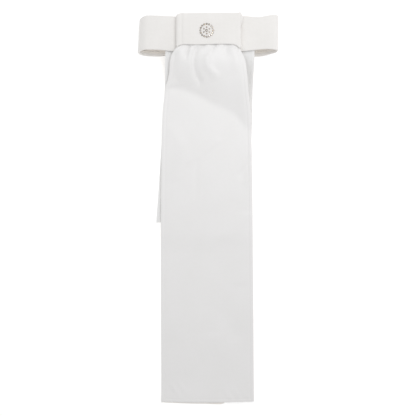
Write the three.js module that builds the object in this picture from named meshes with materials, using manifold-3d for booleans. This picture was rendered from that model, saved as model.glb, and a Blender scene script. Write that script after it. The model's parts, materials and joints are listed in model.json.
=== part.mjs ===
// A ready-tied riding stock (stock tie), laid face up on a flat surface with its neck band fastened.
//
// The neck band is a flattened loop of faced and interlined fabric, creased at the left and right. Its two
// ends lap at the nape, where a hook tape meets a loop tape. A wide knot band lies across the throat. A
// gathered front tail comes out from under the knot, and a shorter rear tail is sewn to the back of the neck
// band. A rosette of flat-backed crystals sits on the knot.
//
// Millimetres, +Z up from the surface, +Y from the tails towards the neck band, +X to the right as seen from
// above. While the pieces are made, y = 0 is the neck band's lower edge at the throat and z = 0 is the
// surface. The whole group is then moved so that its origin is the middle of its footprint.

import * as THREE from "three";
import { mergeVertices } from "three/addons/utils/BufferGeometryUtils.js";
import Module from "manifold-3d";

// ---------------------------------------------------------------- cloth and clearances
const CLEARANCE = 0.3; // between pieces that touch in the real thing
const FACE_PLY = 0.6; // outer cloth of the band
const INTERLINING = 0.4; // stiff inner layer of the band
const LINING_PLY = 0.6; // cloth on the neck's side of the band
const TAIL_PLY = 0.5; // each of the two layers of a tail
const BAND_THICKNESS = FACE_PLY + INTERLINING + LINING_PLY + 2 * CLEARANCE;
const TAIL_THICKNESS = 2 * TAIL_PLY + CLEARANCE;

// ---------------------------------------------------------------- neck band
const BAND_HEIGHT = 40; // along Y, the depth of cloth up the neck
const LOOP_WIDTH = 166; // across the flattened loop
const LOOP_DEPTH = 24; // from the surface to the top of the throat
const BACK_DROP = 2.4; // how much lower the nape lies than the throat
const INNER_INSET = 1; // how far the interlining and lining stop short of the long edges
const LAP = 40; // how far the right nape band lies over the left one
const LAP_RAMP = 8; // length over which the right nape band climbs onto the left one
const LAP_INSET = 13; // from the right fold's centre to the foot of that climb
const FOLD_STEPS = 8; // flats round each quarter of a side fold

// ---------------------------------------------------------------- fastening and label
const HOOK_THICKNESS = 0.8;
const LOOP_THICKNESS = 1.0;
const TAPE_MARGIN = 2; // from a tape's ends to the ends of the lap
const TAPE_HEIGHT = 25;
const LABEL = { width: 22, height: 14, thickness: 0.3, inset: 16 }; // inset from the left fold's centre

// ---------------------------------------------------------------- knot band
const KNOT_WIDTH = 74.5;
const KNOT_HEIGHT = 36.5;
const KNOT_X = 0.5; // middle of the knot
const KNOT_RISE = 4.1; // from the neck band's lower edge to the knot's
const KNOT_PLY = 0.8;
const KNOT_PAD = 1.6; // its firm interlining
const KNOT_RETURN = 9; // how far its ends turn in behind
const KNOT_BACK_PLY = 0.6;
const KNOT_FOLD_RADIUS = 2.4; // of its left and right ends, outside
const TACK = { width: 1.6, height: 9, thickness: 0.5, inset: 5 };

// ---------------------------------------------------------------- tails
const GATHER_THICKNESS = 2.6; // of the pleated head under the knot
const GATHER_HEIGHT = 17;
const MOUTH_INSET = 4.25; // from each end of the knot to the tail's edge where it leaves the knot
const FRONT_TAIL = {
  shoulder: 106, // width once it has opened out
  hem: 110.5,
  length: 421,
  x: -1, // middle of the tail
  lean: 0.5, // how far the hem's middle lies to the right of that
  hemRise: 2.1, // of the hem's right corner
  backLonger: 1.4, // how far the back layer hangs below the face
};
const FRONT_FLARE = 88; // length over which the front tail opens out and comes down
const REAR_TAIL = { shoulder: 103.7, hem: 111.5, length: 205, x: 2.5, lean: 8.5 }; // lean to the left
const REAR_SEAM = { height: 12, rise: 2.3, lap: 4.5 }; // rise from the band's lower edge, lap over the tail
const REAR_FALL = 40; // length over which the rear tail comes down
const PLAN_MARGIN = 12; // how far a tail's side view runs on past its plan
const HEM_LAP = 13; // how far past the rear hem the front tail stays up, so that the rear tail can swing
const HEM_FALL = 28; // length over which it then comes down

// ---------------------------------------------------------------- crystals
const STONE = { radius: 1.15, height: 0.95, sides: 8 };
const OUTER_RING = { name: "outer", count: 16, radius: 7.4, scale: 1 };
const INNER_RING = { name: "inner", count: 6, radius: 3.7, scale: 0.8 };
const CENTRE_STONE_SCALE = 1.4;
const ROSETTE_CENTRE = { x: -2, y: -1.7 }; // from the middle of the knot
const GLUE = 0.1;

// ---------------------------------------------------------------- places that follow from the sizes
const BAND_TOP_Z = LOOP_DEPTH;
const BAND_UNDER_Z = LOOP_DEPTH - BAND_THICKNESS;
const FOLD_RADIUS = LOOP_DEPTH / 2;
const FOLD_X = LOOP_WIDTH / 2 - FOLD_RADIUS; // the side folds' centres are at plus and minus this
const LEFT_END = FOLD_X - LAP_INSET - LAP_RAMP; // x of the left nape band's free end, which lies outermost
const RIGHT_END = LEFT_END - LAP; // x of the right nape band's free end
const HOOK_Z = BAND_THICKNESS + CLEARANCE;
const LOOP_Z = HOOK_Z + HOOK_THICKNESS + CLEARANCE;
const LAP_LEVEL = LOOP_Z + LOOP_THICKNESS + CLEARANCE; // underside of the lapping end
const MOUTH_WIDTH = KNOT_WIDTH - 2 * MOUTH_INSET;
const KNOT_UNDER_Z = BAND_TOP_Z + CLEARANCE;
const GATHER_Z = KNOT_UNDER_Z + KNOT_PLY + CLEARANCE;
const PAD_Z = GATHER_Z + GATHER_THICKNESS + CLEARANCE;
const KNOT_PLATE_Z = PAD_Z + KNOT_PAD + CLEARANCE; // underside of the knot's front ply
const KNOT_TOP_Z = KNOT_PLATE_Z + KNOT_PLY;
const LIP_RADIUS = (KNOT_TOP_Z - PAD_Z) / 2; // of the knot's lower lip, which the front tail turns about
const LIP_Y = KNOT_RISE + LIP_RADIUS;
const MOUTH_Z = GATHER_Z + GATHER_THICKNESS / 2;
const HEAD_Z = BAND_UNDER_Z - CLEARANCE; // top of the rear tail's sewn strip
const REAR_TOP_Z = HEAD_Z - TAIL_THICKNESS - CLEARANCE - TAIL_THICKNESS / 2;
const REAR_TOP_Y = REAR_SEAM.rise + REAR_SEAM.lap;
const REAR_HEM_Y = REAR_TOP_Y - REAR_TAIL.length;
const FRONT_TOP_Y = LIP_Y - CLEARANCE;
const FRONT_HEM_Y = FRONT_TOP_Y - FRONT_TAIL.length;
const FLOOR_MID = TAIL_THICKNESS / 2; // middle of a tail that lies on the surface
const OVER_REAR_MID = FLOOR_MID + TAIL_THICKNESS + CLEARANCE; // middle of the front tail over the rear one

// ---------------------------------------------------------------- materials
const cloth = (color, roughness) => new THREE.MeshStandardMaterial({ color, roughness, metalness: 0 });
const MATERIALS = {
  face: cloth(0xebebe8, 0.82),
  lining: cloth(0xe8e6e1, 0.88),
  interlining: cloth(0xf2f2ef, 0.95),
  tail: cloth(0xececec, 0.62),
  tape: cloth(0xf0f0ee, 0.7),
  thread: cloth(0xf4f4f2, 0.6),
  label: cloth(0xf6f6f4, 0.5),
  crystal: new THREE.MeshStandardMaterial({ color: 0xd9dde2, roughness: 0.05, metalness: 0.6 }),
};

// ---------------------------------------------------------------- solids
const wasm = await Module();
wasm.setup();

const stock = new THREE.Group();
stock.name = "stock_tie";

function place(name, geometry, material) {
  const mesh = new THREE.Mesh(geometry, material);
  mesh.name = name;
  stock.add(mesh);
  return mesh;
}

// A closed three.js geometry as a manifold-3d solid.
function solidOf(geometry) {
  const bare = geometry.clone();
  bare.deleteAttribute("normal");
  bare.deleteAttribute("uv");
  const merged = mergeVertices(bare, 1e-4);
  return new wasm.Manifold(
    new wasm.Mesh({
      numProp: 3,
      vertProperties: new Float32Array(merged.attributes.position.array),
      triVerts: new Uint32Array(merged.index.array),
    }),
  );
}

function geometryOf(solid) {
  const mesh = solid.getMesh();
  const geometry = new THREE.BufferGeometry();
  geometry.setAttribute("position", new THREE.BufferAttribute(new Float32Array(mesh.vertProperties), 3));
  geometry.setIndex(new THREE.BufferAttribute(new Uint32Array(mesh.triVerts), 1));
  geometry.computeVertexNormals();
  return geometry;
}

function box(low, high) {
  const size = high.map((value, axis) => value - low[axis]);
  const middle = high.map((value, axis) => (value + low[axis]) / 2);
  return new THREE.BoxGeometry(...size).translate(...middle);
}

// A shape drawn in X and Z, run from y = low to y = high.
function prismAlongY(shape, low, high) {
  const options = { depth: high - low, bevelEnabled: false, curveSegments: 12 };
  const geometry = new THREE.ExtrudeGeometry(shape, options);
  const axes = new THREE.Matrix4().makeBasis(
    new THREE.Vector3(1, 0, 0),
    new THREE.Vector3(0, 0, 1),
    new THREE.Vector3(0, -1, 0),
  );
  return geometry.applyMatrix4(axes).translate(0, high, 0);
}

// A shape drawn in Y and Z, run from x = low to x = high.
function prismAlongX(shape, low, high) {
  const geometry = new THREE.ExtrudeGeometry(shape, { depth: high - low, bevelEnabled: false });
  const axes = new THREE.Matrix4().makeBasis(
    new THREE.Vector3(0, 1, 0),
    new THREE.Vector3(0, 0, 1),
    new THREE.Vector3(1, 0, 0),
  );
  return geometry.applyMatrix4(axes).translate(low, 0, 0);
}

// A shape drawn in X and Y, run from z = low to z = high.
function prismAlongZ(shape, low, high) {
  const options = { depth: high - low, bevelEnabled: false, curveSegments: 14 };
  return new THREE.ExtrudeGeometry(shape, options).translate(0, 0, low);
}

// A stretch of a layer's middle line, seen edge on, and the number of steps it is drawn with.
function straight(from, to) {
  return { curve: new THREE.LineCurve(new THREE.Vector2(...from), new THREE.Vector2(...to)), steps: 1 };
}

// The smooth fall of a layer of cloth from one level to another, level at both ends.
function fall(from, to, steps) {
  const reach = (to[0] - from[0]) * 0.45;
  const curve = new THREE.CubicBezierCurve(
    new THREE.Vector2(...from),
    new THREE.Vector2(from[0] + reach, from[1]),
    new THREE.Vector2(to[0] - reach, to[1]),
    new THREE.Vector2(...to),
  );
  return { curve, steps };
}

// The outline of a layer of cloth seen edge on, between two offsets to the left of its middle line.
function layerShape(stretches, right, left) {
  const stations = stretches.flatMap(({ curve, steps }, index) => {
    const first = index === 0 ? 0 : 1;
    return Array.from({ length: steps + 1 - first }, (_, i) => {
      const tangent = curve.getTangent((i + first) / steps);
      return { point: curve.getPoint((i + first) / steps), normal: new THREE.Vector2(-tangent.y, tangent.x) };
    });
  });
  const side = (offset) => stations.map(({ point, normal }) => point.clone().addScaledVector(normal, offset));
  const outline = [...side(right), ...side(left).reverse()];
  return new THREE.Shape(THREE.ShapeUtils.area(outline) < 0 ? outline.reverse() : outline);
}

// ---------------------------------------------------------------- neck band
// The three layers of one piece of band. outward is +1 where its face lies to the left of the middle line,
// and -1 where it lies to the right.
function bandPiece(name, stretches, outward, drop) {
  const half = BAND_THICKNESS / 2;
  const faceBack = half - FACE_PLY;
  const interliningFront = faceBack - CLEARANCE;
  const layers = [
    { part: "face", from: faceBack, to: half, inset: 0, material: MATERIALS.face },
    {
      part: "interlining",
      from: interliningFront - INTERLINING,
      to: interliningFront,
      inset: INNER_INSET,
      material: MATERIALS.interlining,
    },
    {
      part: "lining",
      from: -half,
      to: -half + LINING_PLY,
      inset: INNER_INSET,
      material: MATERIALS.lining,
    },
  ];
  for (const { part, from, to, inset, material } of layers) {
    const shape = layerShape(stretches, from * outward, to * outward);
    place(`${name}_${part}`, prismAlongY(shape, inset - drop, BAND_HEIGHT - inset - drop), material);
  }
}

// The bend of a band's middle line between two directions from the middle of a side fold, in radians.
function bend(side, from, to) {
  const radius = FOLD_RADIUS - BAND_THICKNESS / 2;
  const curve = new THREE.EllipseCurve(side * FOLD_X, FOLD_RADIUS, radius, radius, from, to, to < from);
  return { curve, steps: FOLD_STEPS };
}

function neckBand() {
  const throatZ = LOOP_DEPTH - BAND_THICKNESS / 2;
  const napeZ = BAND_THICKNESS / 2;
  const lapZ = LAP_LEVEL + BAND_THICKNESS / 2;
  const gap = CLEARANCE / 2 / (FOLD_RADIUS - BAND_THICKNESS); // half the gap at a crease, as an angle
  const quarter = Math.PI / 2;
  const throat = [
    bend(-1, Math.PI - gap, quarter),
    straight([-FOLD_X, throatZ], [FOLD_X, throatZ]),
    bend(1, quarter, gap),
  ];
  const leftNape = [
    bend(-1, Math.PI + gap, 3 * quarter),
    straight([-FOLD_X, napeZ], [LEFT_END, napeZ]),
  ];
  const rightNape = [
    straight([RIGHT_END, lapZ], [LEFT_END, lapZ]),
    fall([LEFT_END, lapZ], [LEFT_END + LAP_RAMP, napeZ], 8),
    straight([LEFT_END + LAP_RAMP, napeZ], [FOLD_X, napeZ]),
    bend(1, -quarter, -gap),
  ];
  bandPiece("throat_band", throat, 1, 0);
  bandPiece("left_nape_band", leftNape, -1, BACK_DROP);
  bandPiece("right_nape_band", rightNape, -1, BACK_DROP);
}

function fastening() {
  const low = BAND_HEIGHT / 2 - BACK_DROP - TAPE_HEIGHT / 2;
  const ends = [RIGHT_END + TAPE_MARGIN, LEFT_END - TAPE_MARGIN];
  const tape = (z, thickness) => box([ends[0], low, z], [ends[1], low + TAPE_HEIGHT, z + thickness]);
  place("hook_tape", tape(HOOK_Z, HOOK_THICKNESS), MATERIALS.tape);
  place("loop_tape", tape(LOOP_Z, LOOP_THICKNESS), MATERIALS.tape);
  const labelLeft = LABEL.inset - FOLD_X;
  const labelLow = BAND_HEIGHT / 2 - BACK_DROP - LABEL.height / 2;
  const label = box(
    [labelLeft, labelLow, HOOK_Z],
    [labelLeft + LABEL.width, labelLow + LABEL.height, HOOK_Z + LABEL.thickness],
  );
  place("care_label", label, MATERIALS.label);
}

// ---------------------------------------------------------------- knot
// The knot's front ply: a flat front whose left and right ends turn round and in behind.
function knotPlyShape() {
  const left = KNOT_X - KNOT_WIDTH / 2;
  const right = KNOT_X + KNOT_WIDTH / 2;
  const outer = KNOT_FOLD_RADIUS;
  const inner = KNOT_FOLD_RADIUS - KNOT_PLY;
  const low = KNOT_UNDER_Z;
  const high = KNOT_TOP_Z;
  const shape = new THREE.Shape();
  shape.moveTo(left + KNOT_RETURN, low);
  shape.lineTo(left + KNOT_RETURN, low + KNOT_PLY);
  shape.absarc(left + outer, low + outer, inner, -Math.PI / 2, -Math.PI, true);
  shape.absarc(left + outer, high - outer, inner, Math.PI, Math.PI / 2, true);
  shape.absarc(right - outer, high - outer, inner, Math.PI / 2, 0, true);
  shape.absarc(right - outer, low + outer, inner, 0, -Math.PI / 2, true);
  shape.lineTo(right - KNOT_RETURN, low + KNOT_PLY);
  shape.lineTo(right - KNOT_RETURN, low);
  shape.absarc(right - outer, low + outer, outer, -Math.PI / 2, 0, false);
  shape.absarc(right - outer, high - outer, outer, 0, Math.PI / 2, false);
  shape.absarc(left + outer, high - outer, outer, Math.PI / 2, Math.PI, false);
  shape.absarc(left + outer, low + outer, outer, Math.PI, 1.5 * Math.PI, false);
  return shape;
}

function knot() {
  const bottom = KNOT_RISE;
  const top = KNOT_RISE + KNOT_HEIGHT;
  place("knot_front", prismAlongY(knotPlyShape(), bottom, top), MATERIALS.face);
  const padHalf = KNOT_WIDTH / 2 - KNOT_FOLD_RADIUS;
  const pad = box(
    [KNOT_X - padHalf, bottom, PAD_Z],
    [KNOT_X + padHalf, top, PAD_Z + KNOT_PAD],
  );
  place("knot_interlining", pad, MATERIALS.interlining);
  const backHalf = KNOT_WIDTH / 2 - KNOT_RETURN - CLEARANCE;
  const back = box(
    [KNOT_X - backHalf, bottom, KNOT_UNDER_Z],
    [KNOT_X + backHalf, top, KNOT_UNDER_Z + KNOT_BACK_PLY],
  );
  place("knot_back", back, MATERIALS.lining);
  for (const [side, name] of [[-1, "left"], [1, "right"]]) {
    const x = KNOT_X + side * (KNOT_WIDTH / 2 - TACK.inset);
    const y = REAR_SEAM.rise + REAR_SEAM.height + 2 * CLEARANCE;
    const z = BAND_UNDER_Z - CLEARANCE;
    const tack = box([x - TACK.width / 2, y, z - TACK.thickness], [x + TACK.width / 2, y + TACK.height, z]);
    place(`knot_tack_${name}`, tack, MATERIALS.thread);
  }
}

// ---------------------------------------------------------------- tails
// Both layers of a tail: its side view cut to its plan. The middle line runs towards -Y, so the surface is
// to its left.
function tail(name, stretches, plan, longerBack) {
  const half = TAIL_THICKNESS / 2;
  const reach = LOOP_WIDTH;
  const cut = (outline) => solidOf(prismAlongZ(outline, -LOOP_DEPTH, 2 * KNOT_TOP_Z));
  const layer = (right, left, outline) => {
    const sideView = solidOf(prismAlongX(layerShape(stretches, right, left), -reach, reach));
    return geometryOf(sideView.intersect(cut(outline)));
  };
  place(`${name}_back`, layer(half - TAIL_PLY, half, plan(longerBack)), MATERIALS.lining);
  place(`${name}_face`, layer(-half, -half + TAIL_PLY, plan(0)), MATERIALS.tail);
}

function frontTail() {
  const landing = FRONT_TOP_Y - FRONT_FLARE;
  const letDown = REAR_HEM_Y - HEM_LAP;
  const past = FRONT_HEM_Y - PLAN_MARGIN;
  const stretches = [
    fall([FRONT_TOP_Y, MOUTH_Z], [landing, OVER_REAR_MID], 14),
    straight([landing, OVER_REAR_MID], [letDown, OVER_REAR_MID]),
    fall([letDown, OVER_REAR_MID], [letDown - HEM_FALL, FLOOR_MID], 6),
    straight([letDown - HEM_FALL, FLOOR_MID], [past, FLOOR_MID]),
  ];
  const plan = (longer) => {
    const { shoulder, hem, x, lean, hemRise } = FRONT_TAIL;
    const mouth = MOUTH_WIDTH / 2;
    const shape = new THREE.Shape();
    shape.moveTo(KNOT_X - mouth, FRONT_TOP_Y);
    shape.bezierCurveTo(
      KNOT_X - mouth - 8, FRONT_TOP_Y - FRONT_FLARE * 0.25,
      x - shoulder / 2, FRONT_TOP_Y - FRONT_FLARE * 0.6,
      x - shoulder / 2, landing,
    );
    shape.lineTo(x + lean - hem / 2, FRONT_HEM_Y);
    const middle = { x: x + lean, y: FRONT_HEM_Y + hemRise / 2 - 2 * longer };
    shape.quadraticCurveTo(middle.x, middle.y, x + lean + hem / 2, FRONT_HEM_Y + hemRise);
    shape.lineTo(x + shoulder / 2, landing);
    shape.bezierCurveTo(
      x + shoulder / 2, FRONT_TOP_Y - FRONT_FLARE * 0.6,
      KNOT_X + mouth + 8, FRONT_TOP_Y - FRONT_FLARE * 0.25,
      KNOT_X + mouth, FRONT_TOP_Y,
    );
    return shape;
  };
  tail("front_tail", stretches, plan, FRONT_TAIL.backLonger);
  const headHalf = MOUTH_WIDTH / 2;
  const head = box(
    [KNOT_X - headHalf, LIP_Y, GATHER_Z],
    [KNOT_X + headHalf, LIP_Y + GATHER_HEIGHT, GATHER_Z + GATHER_THICKNESS],
  );
  place("front_tail_gathers", head, MATERIALS.tail);
}

function rearTail() {
  const start = -BACK_DROP;
  const stretches = [
    straight([REAR_TOP_Y, REAR_TOP_Z], [start, REAR_TOP_Z]),
    fall([start, REAR_TOP_Z], [start - REAR_FALL, FLOOR_MID], 12),
    straight([start - REAR_FALL, FLOOR_MID], [REAR_HEM_Y - PLAN_MARGIN, FLOOR_MID]),
  ];
  const plan = () => {
    const { shoulder, hem, x, lean, length } = REAR_TAIL;
    // The tail leans to one side as it goes down, and its hem is square to it.
    const along = new THREE.Vector2(-lean, -length).normalize();
    const across = new THREE.Vector2(-along.y, along.x);
    const end = new THREE.Vector2(x, REAR_TOP_Y).addScaledVector(along, length);
    const shape = new THREE.Shape();
    shape.moveTo(x - shoulder / 2, REAR_TOP_Y);
    shape.lineTo(end.x - (across.x * hem) / 2, end.y - (across.y * hem) / 2);
    shape.lineTo(end.x + (across.x * hem) / 2, end.y + (across.y * hem) / 2);
    shape.lineTo(x + shoulder / 2, REAR_TOP_Y);
    return shape;
  };
  tail("rear_tail", stretches, plan, 0);
  const head = box(
    [REAR_TAIL.x - REAR_TAIL.shoulder / 2, REAR_SEAM.rise, HEAD_Z - TAIL_THICKNESS],
    [REAR_TAIL.x + REAR_TAIL.shoulder / 2, REAR_SEAM.rise + REAR_SEAM.height, HEAD_Z],
  );
  place("rear_tail_seam", head, MATERIALS.tail);
}

// ---------------------------------------------------------------- crystals
// A flat-backed stone with a girdle, a crown of flat facets and a table.
function stone(scale) {
  const r = STONE.radius * scale;
  const h = STONE.height * scale;
  const profile = [
    [0, 0],
    [r, 0],
    [r, h * 0.2],
    [r * 0.74, h * 0.72],
    [r * 0.42, h],
    [0, h],
  ].map(([radius, height]) => new THREE.Vector2(radius, height));
  return new THREE.LatheGeometry(profile, STONE.sides).rotateX(Math.PI / 2);
}

function rosette() {
  const centre = new THREE.Vector3(
    KNOT_X + ROSETTE_CENTRE.x,
    KNOT_RISE + KNOT_HEIGHT / 2 + ROSETTE_CENTRE.y,
    KNOT_TOP_Z + GLUE,
  );
  for (const { name, count, radius, scale } of [OUTER_RING, INNER_RING]) {
    for (let i = 0; i < count; i += 1) {
      const turn = (2 * Math.PI * i) / count;
      const label = `crystal_${name}_${String(i + 1).padStart(2, "0")}`;
      const mesh = place(label, stone(scale), MATERIALS.crystal);
      mesh.position.set(radius * Math.sin(turn), radius * Math.cos(turn), 0).add(centre);
      mesh.rotation.z = -turn;
    }
  }
  place("crystal_centre", stone(CENTRE_STONE_SCALE), MATERIALS.crystal).position.copy(centre);
}

neckBand();
fastening();
rearTail();
knot();
frontTail();
rosette();

// Origin: the middle of the footprint, on the surface.
const bounds = new THREE.Box3().setFromObject(stock, true);
stock.position.set(-(bounds.min.x + bounds.max.x) / 2, -(bounds.min.y + bounds.max.y) / 2, -bounds.min.z);

export default stock;
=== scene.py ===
"""The looks of a ready-tied riding stock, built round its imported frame.

The neck band, the knot and the two tails are sheets of cloth, each a closed mesh with rounded edges. The
stitches, the hooks and loops of the fastening and the stones of the rosette are made with Geometry Nodes.
Lengths are in metres, in the frame's own axes: +Z up from the surface, +Y towards the neck band.
"""

from __future__ import annotations

import json
import logging
import math
from dataclasses import dataclass, field
from enum import Enum
from typing import Callable, Sequence

import bmesh
import bpy
import numpy as np
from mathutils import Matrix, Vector

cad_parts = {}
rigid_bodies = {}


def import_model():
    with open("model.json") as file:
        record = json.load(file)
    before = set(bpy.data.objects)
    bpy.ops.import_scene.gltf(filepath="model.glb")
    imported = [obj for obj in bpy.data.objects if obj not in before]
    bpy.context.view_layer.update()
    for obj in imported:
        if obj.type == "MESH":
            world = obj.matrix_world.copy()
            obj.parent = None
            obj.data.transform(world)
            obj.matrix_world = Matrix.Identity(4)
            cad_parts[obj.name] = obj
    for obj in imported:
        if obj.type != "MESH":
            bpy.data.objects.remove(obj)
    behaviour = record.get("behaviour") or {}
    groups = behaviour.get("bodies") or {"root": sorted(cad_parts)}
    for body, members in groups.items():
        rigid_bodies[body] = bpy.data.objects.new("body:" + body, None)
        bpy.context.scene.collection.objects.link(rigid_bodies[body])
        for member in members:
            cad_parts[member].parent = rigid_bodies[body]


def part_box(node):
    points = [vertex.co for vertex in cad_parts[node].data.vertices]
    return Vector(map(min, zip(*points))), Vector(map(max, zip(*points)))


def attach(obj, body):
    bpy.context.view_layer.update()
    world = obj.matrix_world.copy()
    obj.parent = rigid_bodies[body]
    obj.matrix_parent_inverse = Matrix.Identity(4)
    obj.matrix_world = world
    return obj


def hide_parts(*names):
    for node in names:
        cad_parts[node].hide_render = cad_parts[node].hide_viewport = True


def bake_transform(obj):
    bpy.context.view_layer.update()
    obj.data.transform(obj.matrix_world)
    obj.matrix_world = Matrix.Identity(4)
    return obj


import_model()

MM = 0.001
LOG = logging.getLogger("stock")


# ---------------------------------------------------------------- colour and nodes


def linear(code: str) -> tuple[float, float, float, float]:
    """Turns an sRGB hex colour to linear.

    Args:
        code: Six hex digits, without a hash.

    Returns:
        Red, green, blue and an alpha of one.
    """
    values = [int(code[i : i + 2], 16) / 255 for i in (0, 2, 4)]
    return (*[v / 12.92 if v <= 0.04045 else ((v + 0.055) / 1.055) ** 2.4 for v in values], 1.0)


def add(
    tree: bpy.types.NodeTree, kind: str, settings: dict | None = None, **inputs: object
) -> bpy.types.Node:
    """Adds a node with its settings and inputs.

    Args:
        tree: The tree that the node goes in.
        kind: The node's type name.
        settings: Properties of the node itself.
        inputs: Values or sockets for its inputs. An underscore stands for a space, and iN is input number N.

    Returns:
        The new node.
    """
    node = tree.nodes.new(kind)
    for key, value in (settings or {}).items():
        setattr(node, key, value)
    for key, value in inputs.items():
        numbered = key[0] == "i" and key[1:].isdigit()
        socket = node.inputs[int(key[1:])] if numbered else node.inputs[key.replace("_", " ")]
        if isinstance(value, bpy.types.NodeSocket):
            tree.links.new(value, socket)
        else:
            socket.default_value = value
    return node


def compute(tree: bpy.types.NodeTree, operation: str, *values: object) -> bpy.types.NodeSocket:
    """Adds a Math node.

    Args:
        tree: The tree that it goes in.
        operation: What it does.
        values: Its inputs in order, each a number or a socket.

    Returns:
        Its result.
    """
    inputs = {f"i{number}": value for number, value in enumerate(values)}
    return add(tree, "ShaderNodeMath", {"operation": operation}, **inputs).outputs[0]


class Surface:
    """A material while it is being made: its shader, colour and bump."""

    def __init__(self, name: str, **values: object) -> None:
        """Starts the material.

        Args:
            name: Its name.
            values: Values for the shader's inputs, with an underscore for a space.
        """
        self.material = bpy.data.materials.new(name)
        self.material.use_nodes = True
        self.tree = self.material.node_tree
        self.shader = self.tree.nodes["Principled BSDF"]
        for key, value in values.items():
            self.shader.inputs[key.replace("_", " ")].default_value = value

    def where(self, space: str = "Object") -> bpy.types.NodeSocket:
        """Gives the place on the piece, as its Object or UV coordinate."""
        return add(self.tree, "ShaderNodeTexCoord").outputs[space]

    def colour(
        self, factor: bpy.types.NodeSocket, stops: Sequence[tuple[float, str]], stepped: bool = False
    ) -> None:
        """Takes the base colour from a ramp.

        Args:
            factor: Where on the ramp to read.
            stops: The ramp's places and sRGB colours, in rising order of place.
            stepped: Whether the colours change at once, and don't run into each other.
        """
        ramp = add(self.tree, "ShaderNodeValToRGB", Fac=factor)
        if stepped:
            ramp.color_ramp.interpolation = "CONSTANT"
        elements = ramp.color_ramp.elements
        while len(elements) < len(stops):
            elements.new(len(elements) / len(stops))
        for i, (place, code) in enumerate(stops):
            elements[i].position = place
            elements[i].color = linear(code)
        self.tree.links.new(ramp.outputs["Color"], self.shader.inputs["Base Color"])

    def relief(self, height: bpy.types.NodeSocket, distance: float, strength: float = 1.0) -> None:
        """Raises the surface by a height pattern.

        Args:
            height: The pattern, from 0 to 1.
            distance: The real height that 1 stands for.
            strength: How much of it shows.
        """
        bump = add(self.tree, "ShaderNodeBump", Strength=strength, Distance=distance, Height=height)
        self.tree.links.new(bump.outputs["Normal"], self.shader.inputs["Normal"])


# ---------------------------------------------------------------- finishes


class Weave(Enum):
    """How a cloth is woven."""

    PIQUE = "pique"
    SATEEN = "sateen"
    PLAIN = "plain"
    BONDED = "bonded"


# The angle at which each weave's lines cross the cloth.
WEAVE_TURN = {Weave.PIQUE: math.radians(45), Weave.SATEEN: math.radians(20), Weave.PLAIN: 0.0}
# The share of its lines that a sateen shows across its long floats.
SATEEN_FLOAT = 0.35


@dataclass(frozen=True)
class Cloth:
    """A white cloth: its weave, colours and how it takes the light."""

    name: str
    weave: Weave
    light: str
    shade: str
    pitch: float
    relief: float
    roughness: float
    sheen: float

    def material(self) -> bpy.types.Material:
        """Makes the cloth's material, with its weave on the piece's own UV map in metres.

        Returns:
            The material.
        """
        made = Surface(
            self.name,
            Roughness=self.roughness,
            Specular_IOR_Level=0.35,
            Sheen_Weight=self.sheen,
            Sheen_Roughness=0.45,
        )
        threads = self.threads(made)
        # Slow change of tone, as cloth has where it was pressed and handled.
        cloud = add(
            made.tree, "ShaderNodeTexNoise", Vector=made.where(), Scale=28.0, Detail=3.0, Roughness=0.55
        )
        clouded = compute(made.tree, "MULTIPLY", cloud.outputs[0], 0.6)
        tone = compute(made.tree, "MULTIPLY_ADD", threads, 0.45, clouded)
        made.colour(tone, ((0.12, self.shade), (0.72, self.light)))
        made.relief(threads, self.relief)
        return made.material

    def threads(self, made: Surface) -> bpy.types.NodeSocket:
        """Adds the weave's height pattern.

        Args:
            made: The material that it is for.

        Returns:
            A socket from 0 in the gaps to 1 on the threads.
        """
        tree, uv = made.tree, made.where("UV")
        if self.weave is Weave.BONDED:
            # Bonded fibres have no threads, only a fine felt.
            return add(tree, "ShaderNodeTexNoise", Vector=uv, Scale=1 / self.pitch, Detail=4.0).outputs[0]
        turned = add(tree, "ShaderNodeMapping", Vector=uv, Rotation=(0, 0, WEAVE_TURN[self.weave]))
        parts = add(tree, "ShaderNodeSeparateXYZ", Vector=turned.outputs[0])
        waves = []
        for axis, share in ((0, 1.0), (1, SATEEN_FLOAT if self.weave is Weave.SATEEN else 1.0)):
            angle = compute(tree, "MULTIPLY", parts.outputs[axis], 2 * math.pi / self.pitch * share)
            waves.append(compute(tree, "SINE", angle))
        crossed = compute(tree, "MULTIPLY", *waves)
        # Slubs: no two threads are quite as thick.
        slub = add(tree, "ShaderNodeTexNoise", Vector=uv, Scale=0.4 / self.pitch, Detail=2.0)
        uneven = compute(tree, "MULTIPLY_ADD", slub.outputs[0], 0.5, 0.25)
        return compute(tree, "MULTIPLY_ADD", crossed, 0.32, uneven)


@dataclass(frozen=True)
class Yarn:
    """Spun or moulded fibre: sewing thread, hooks and loops."""

    name: str
    colour: str
    dark: str
    twist: float
    roughness: float

    def material(self) -> bpy.types.Material:
        """Makes the fibre's material, with fine bands of tone as a twist has.

        Returns:
            The material.
        """
        made = Surface(self.name, Roughness=self.roughness, Sheen_Weight=0.3)
        bands = add(
            made.tree,
            "ShaderNodeTexWave",
            {"bands_direction": "DIAGONAL"},
            Vector=made.where(),
            Scale=0.3 / self.twist,
            Distortion=1.5,
        ).outputs["Fac"]
        made.colour(bands, ((0.0, self.dark), (1.0, self.colour)))
        made.relief(bands, 0.05 * MM, 0.6)
        return made.material


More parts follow.
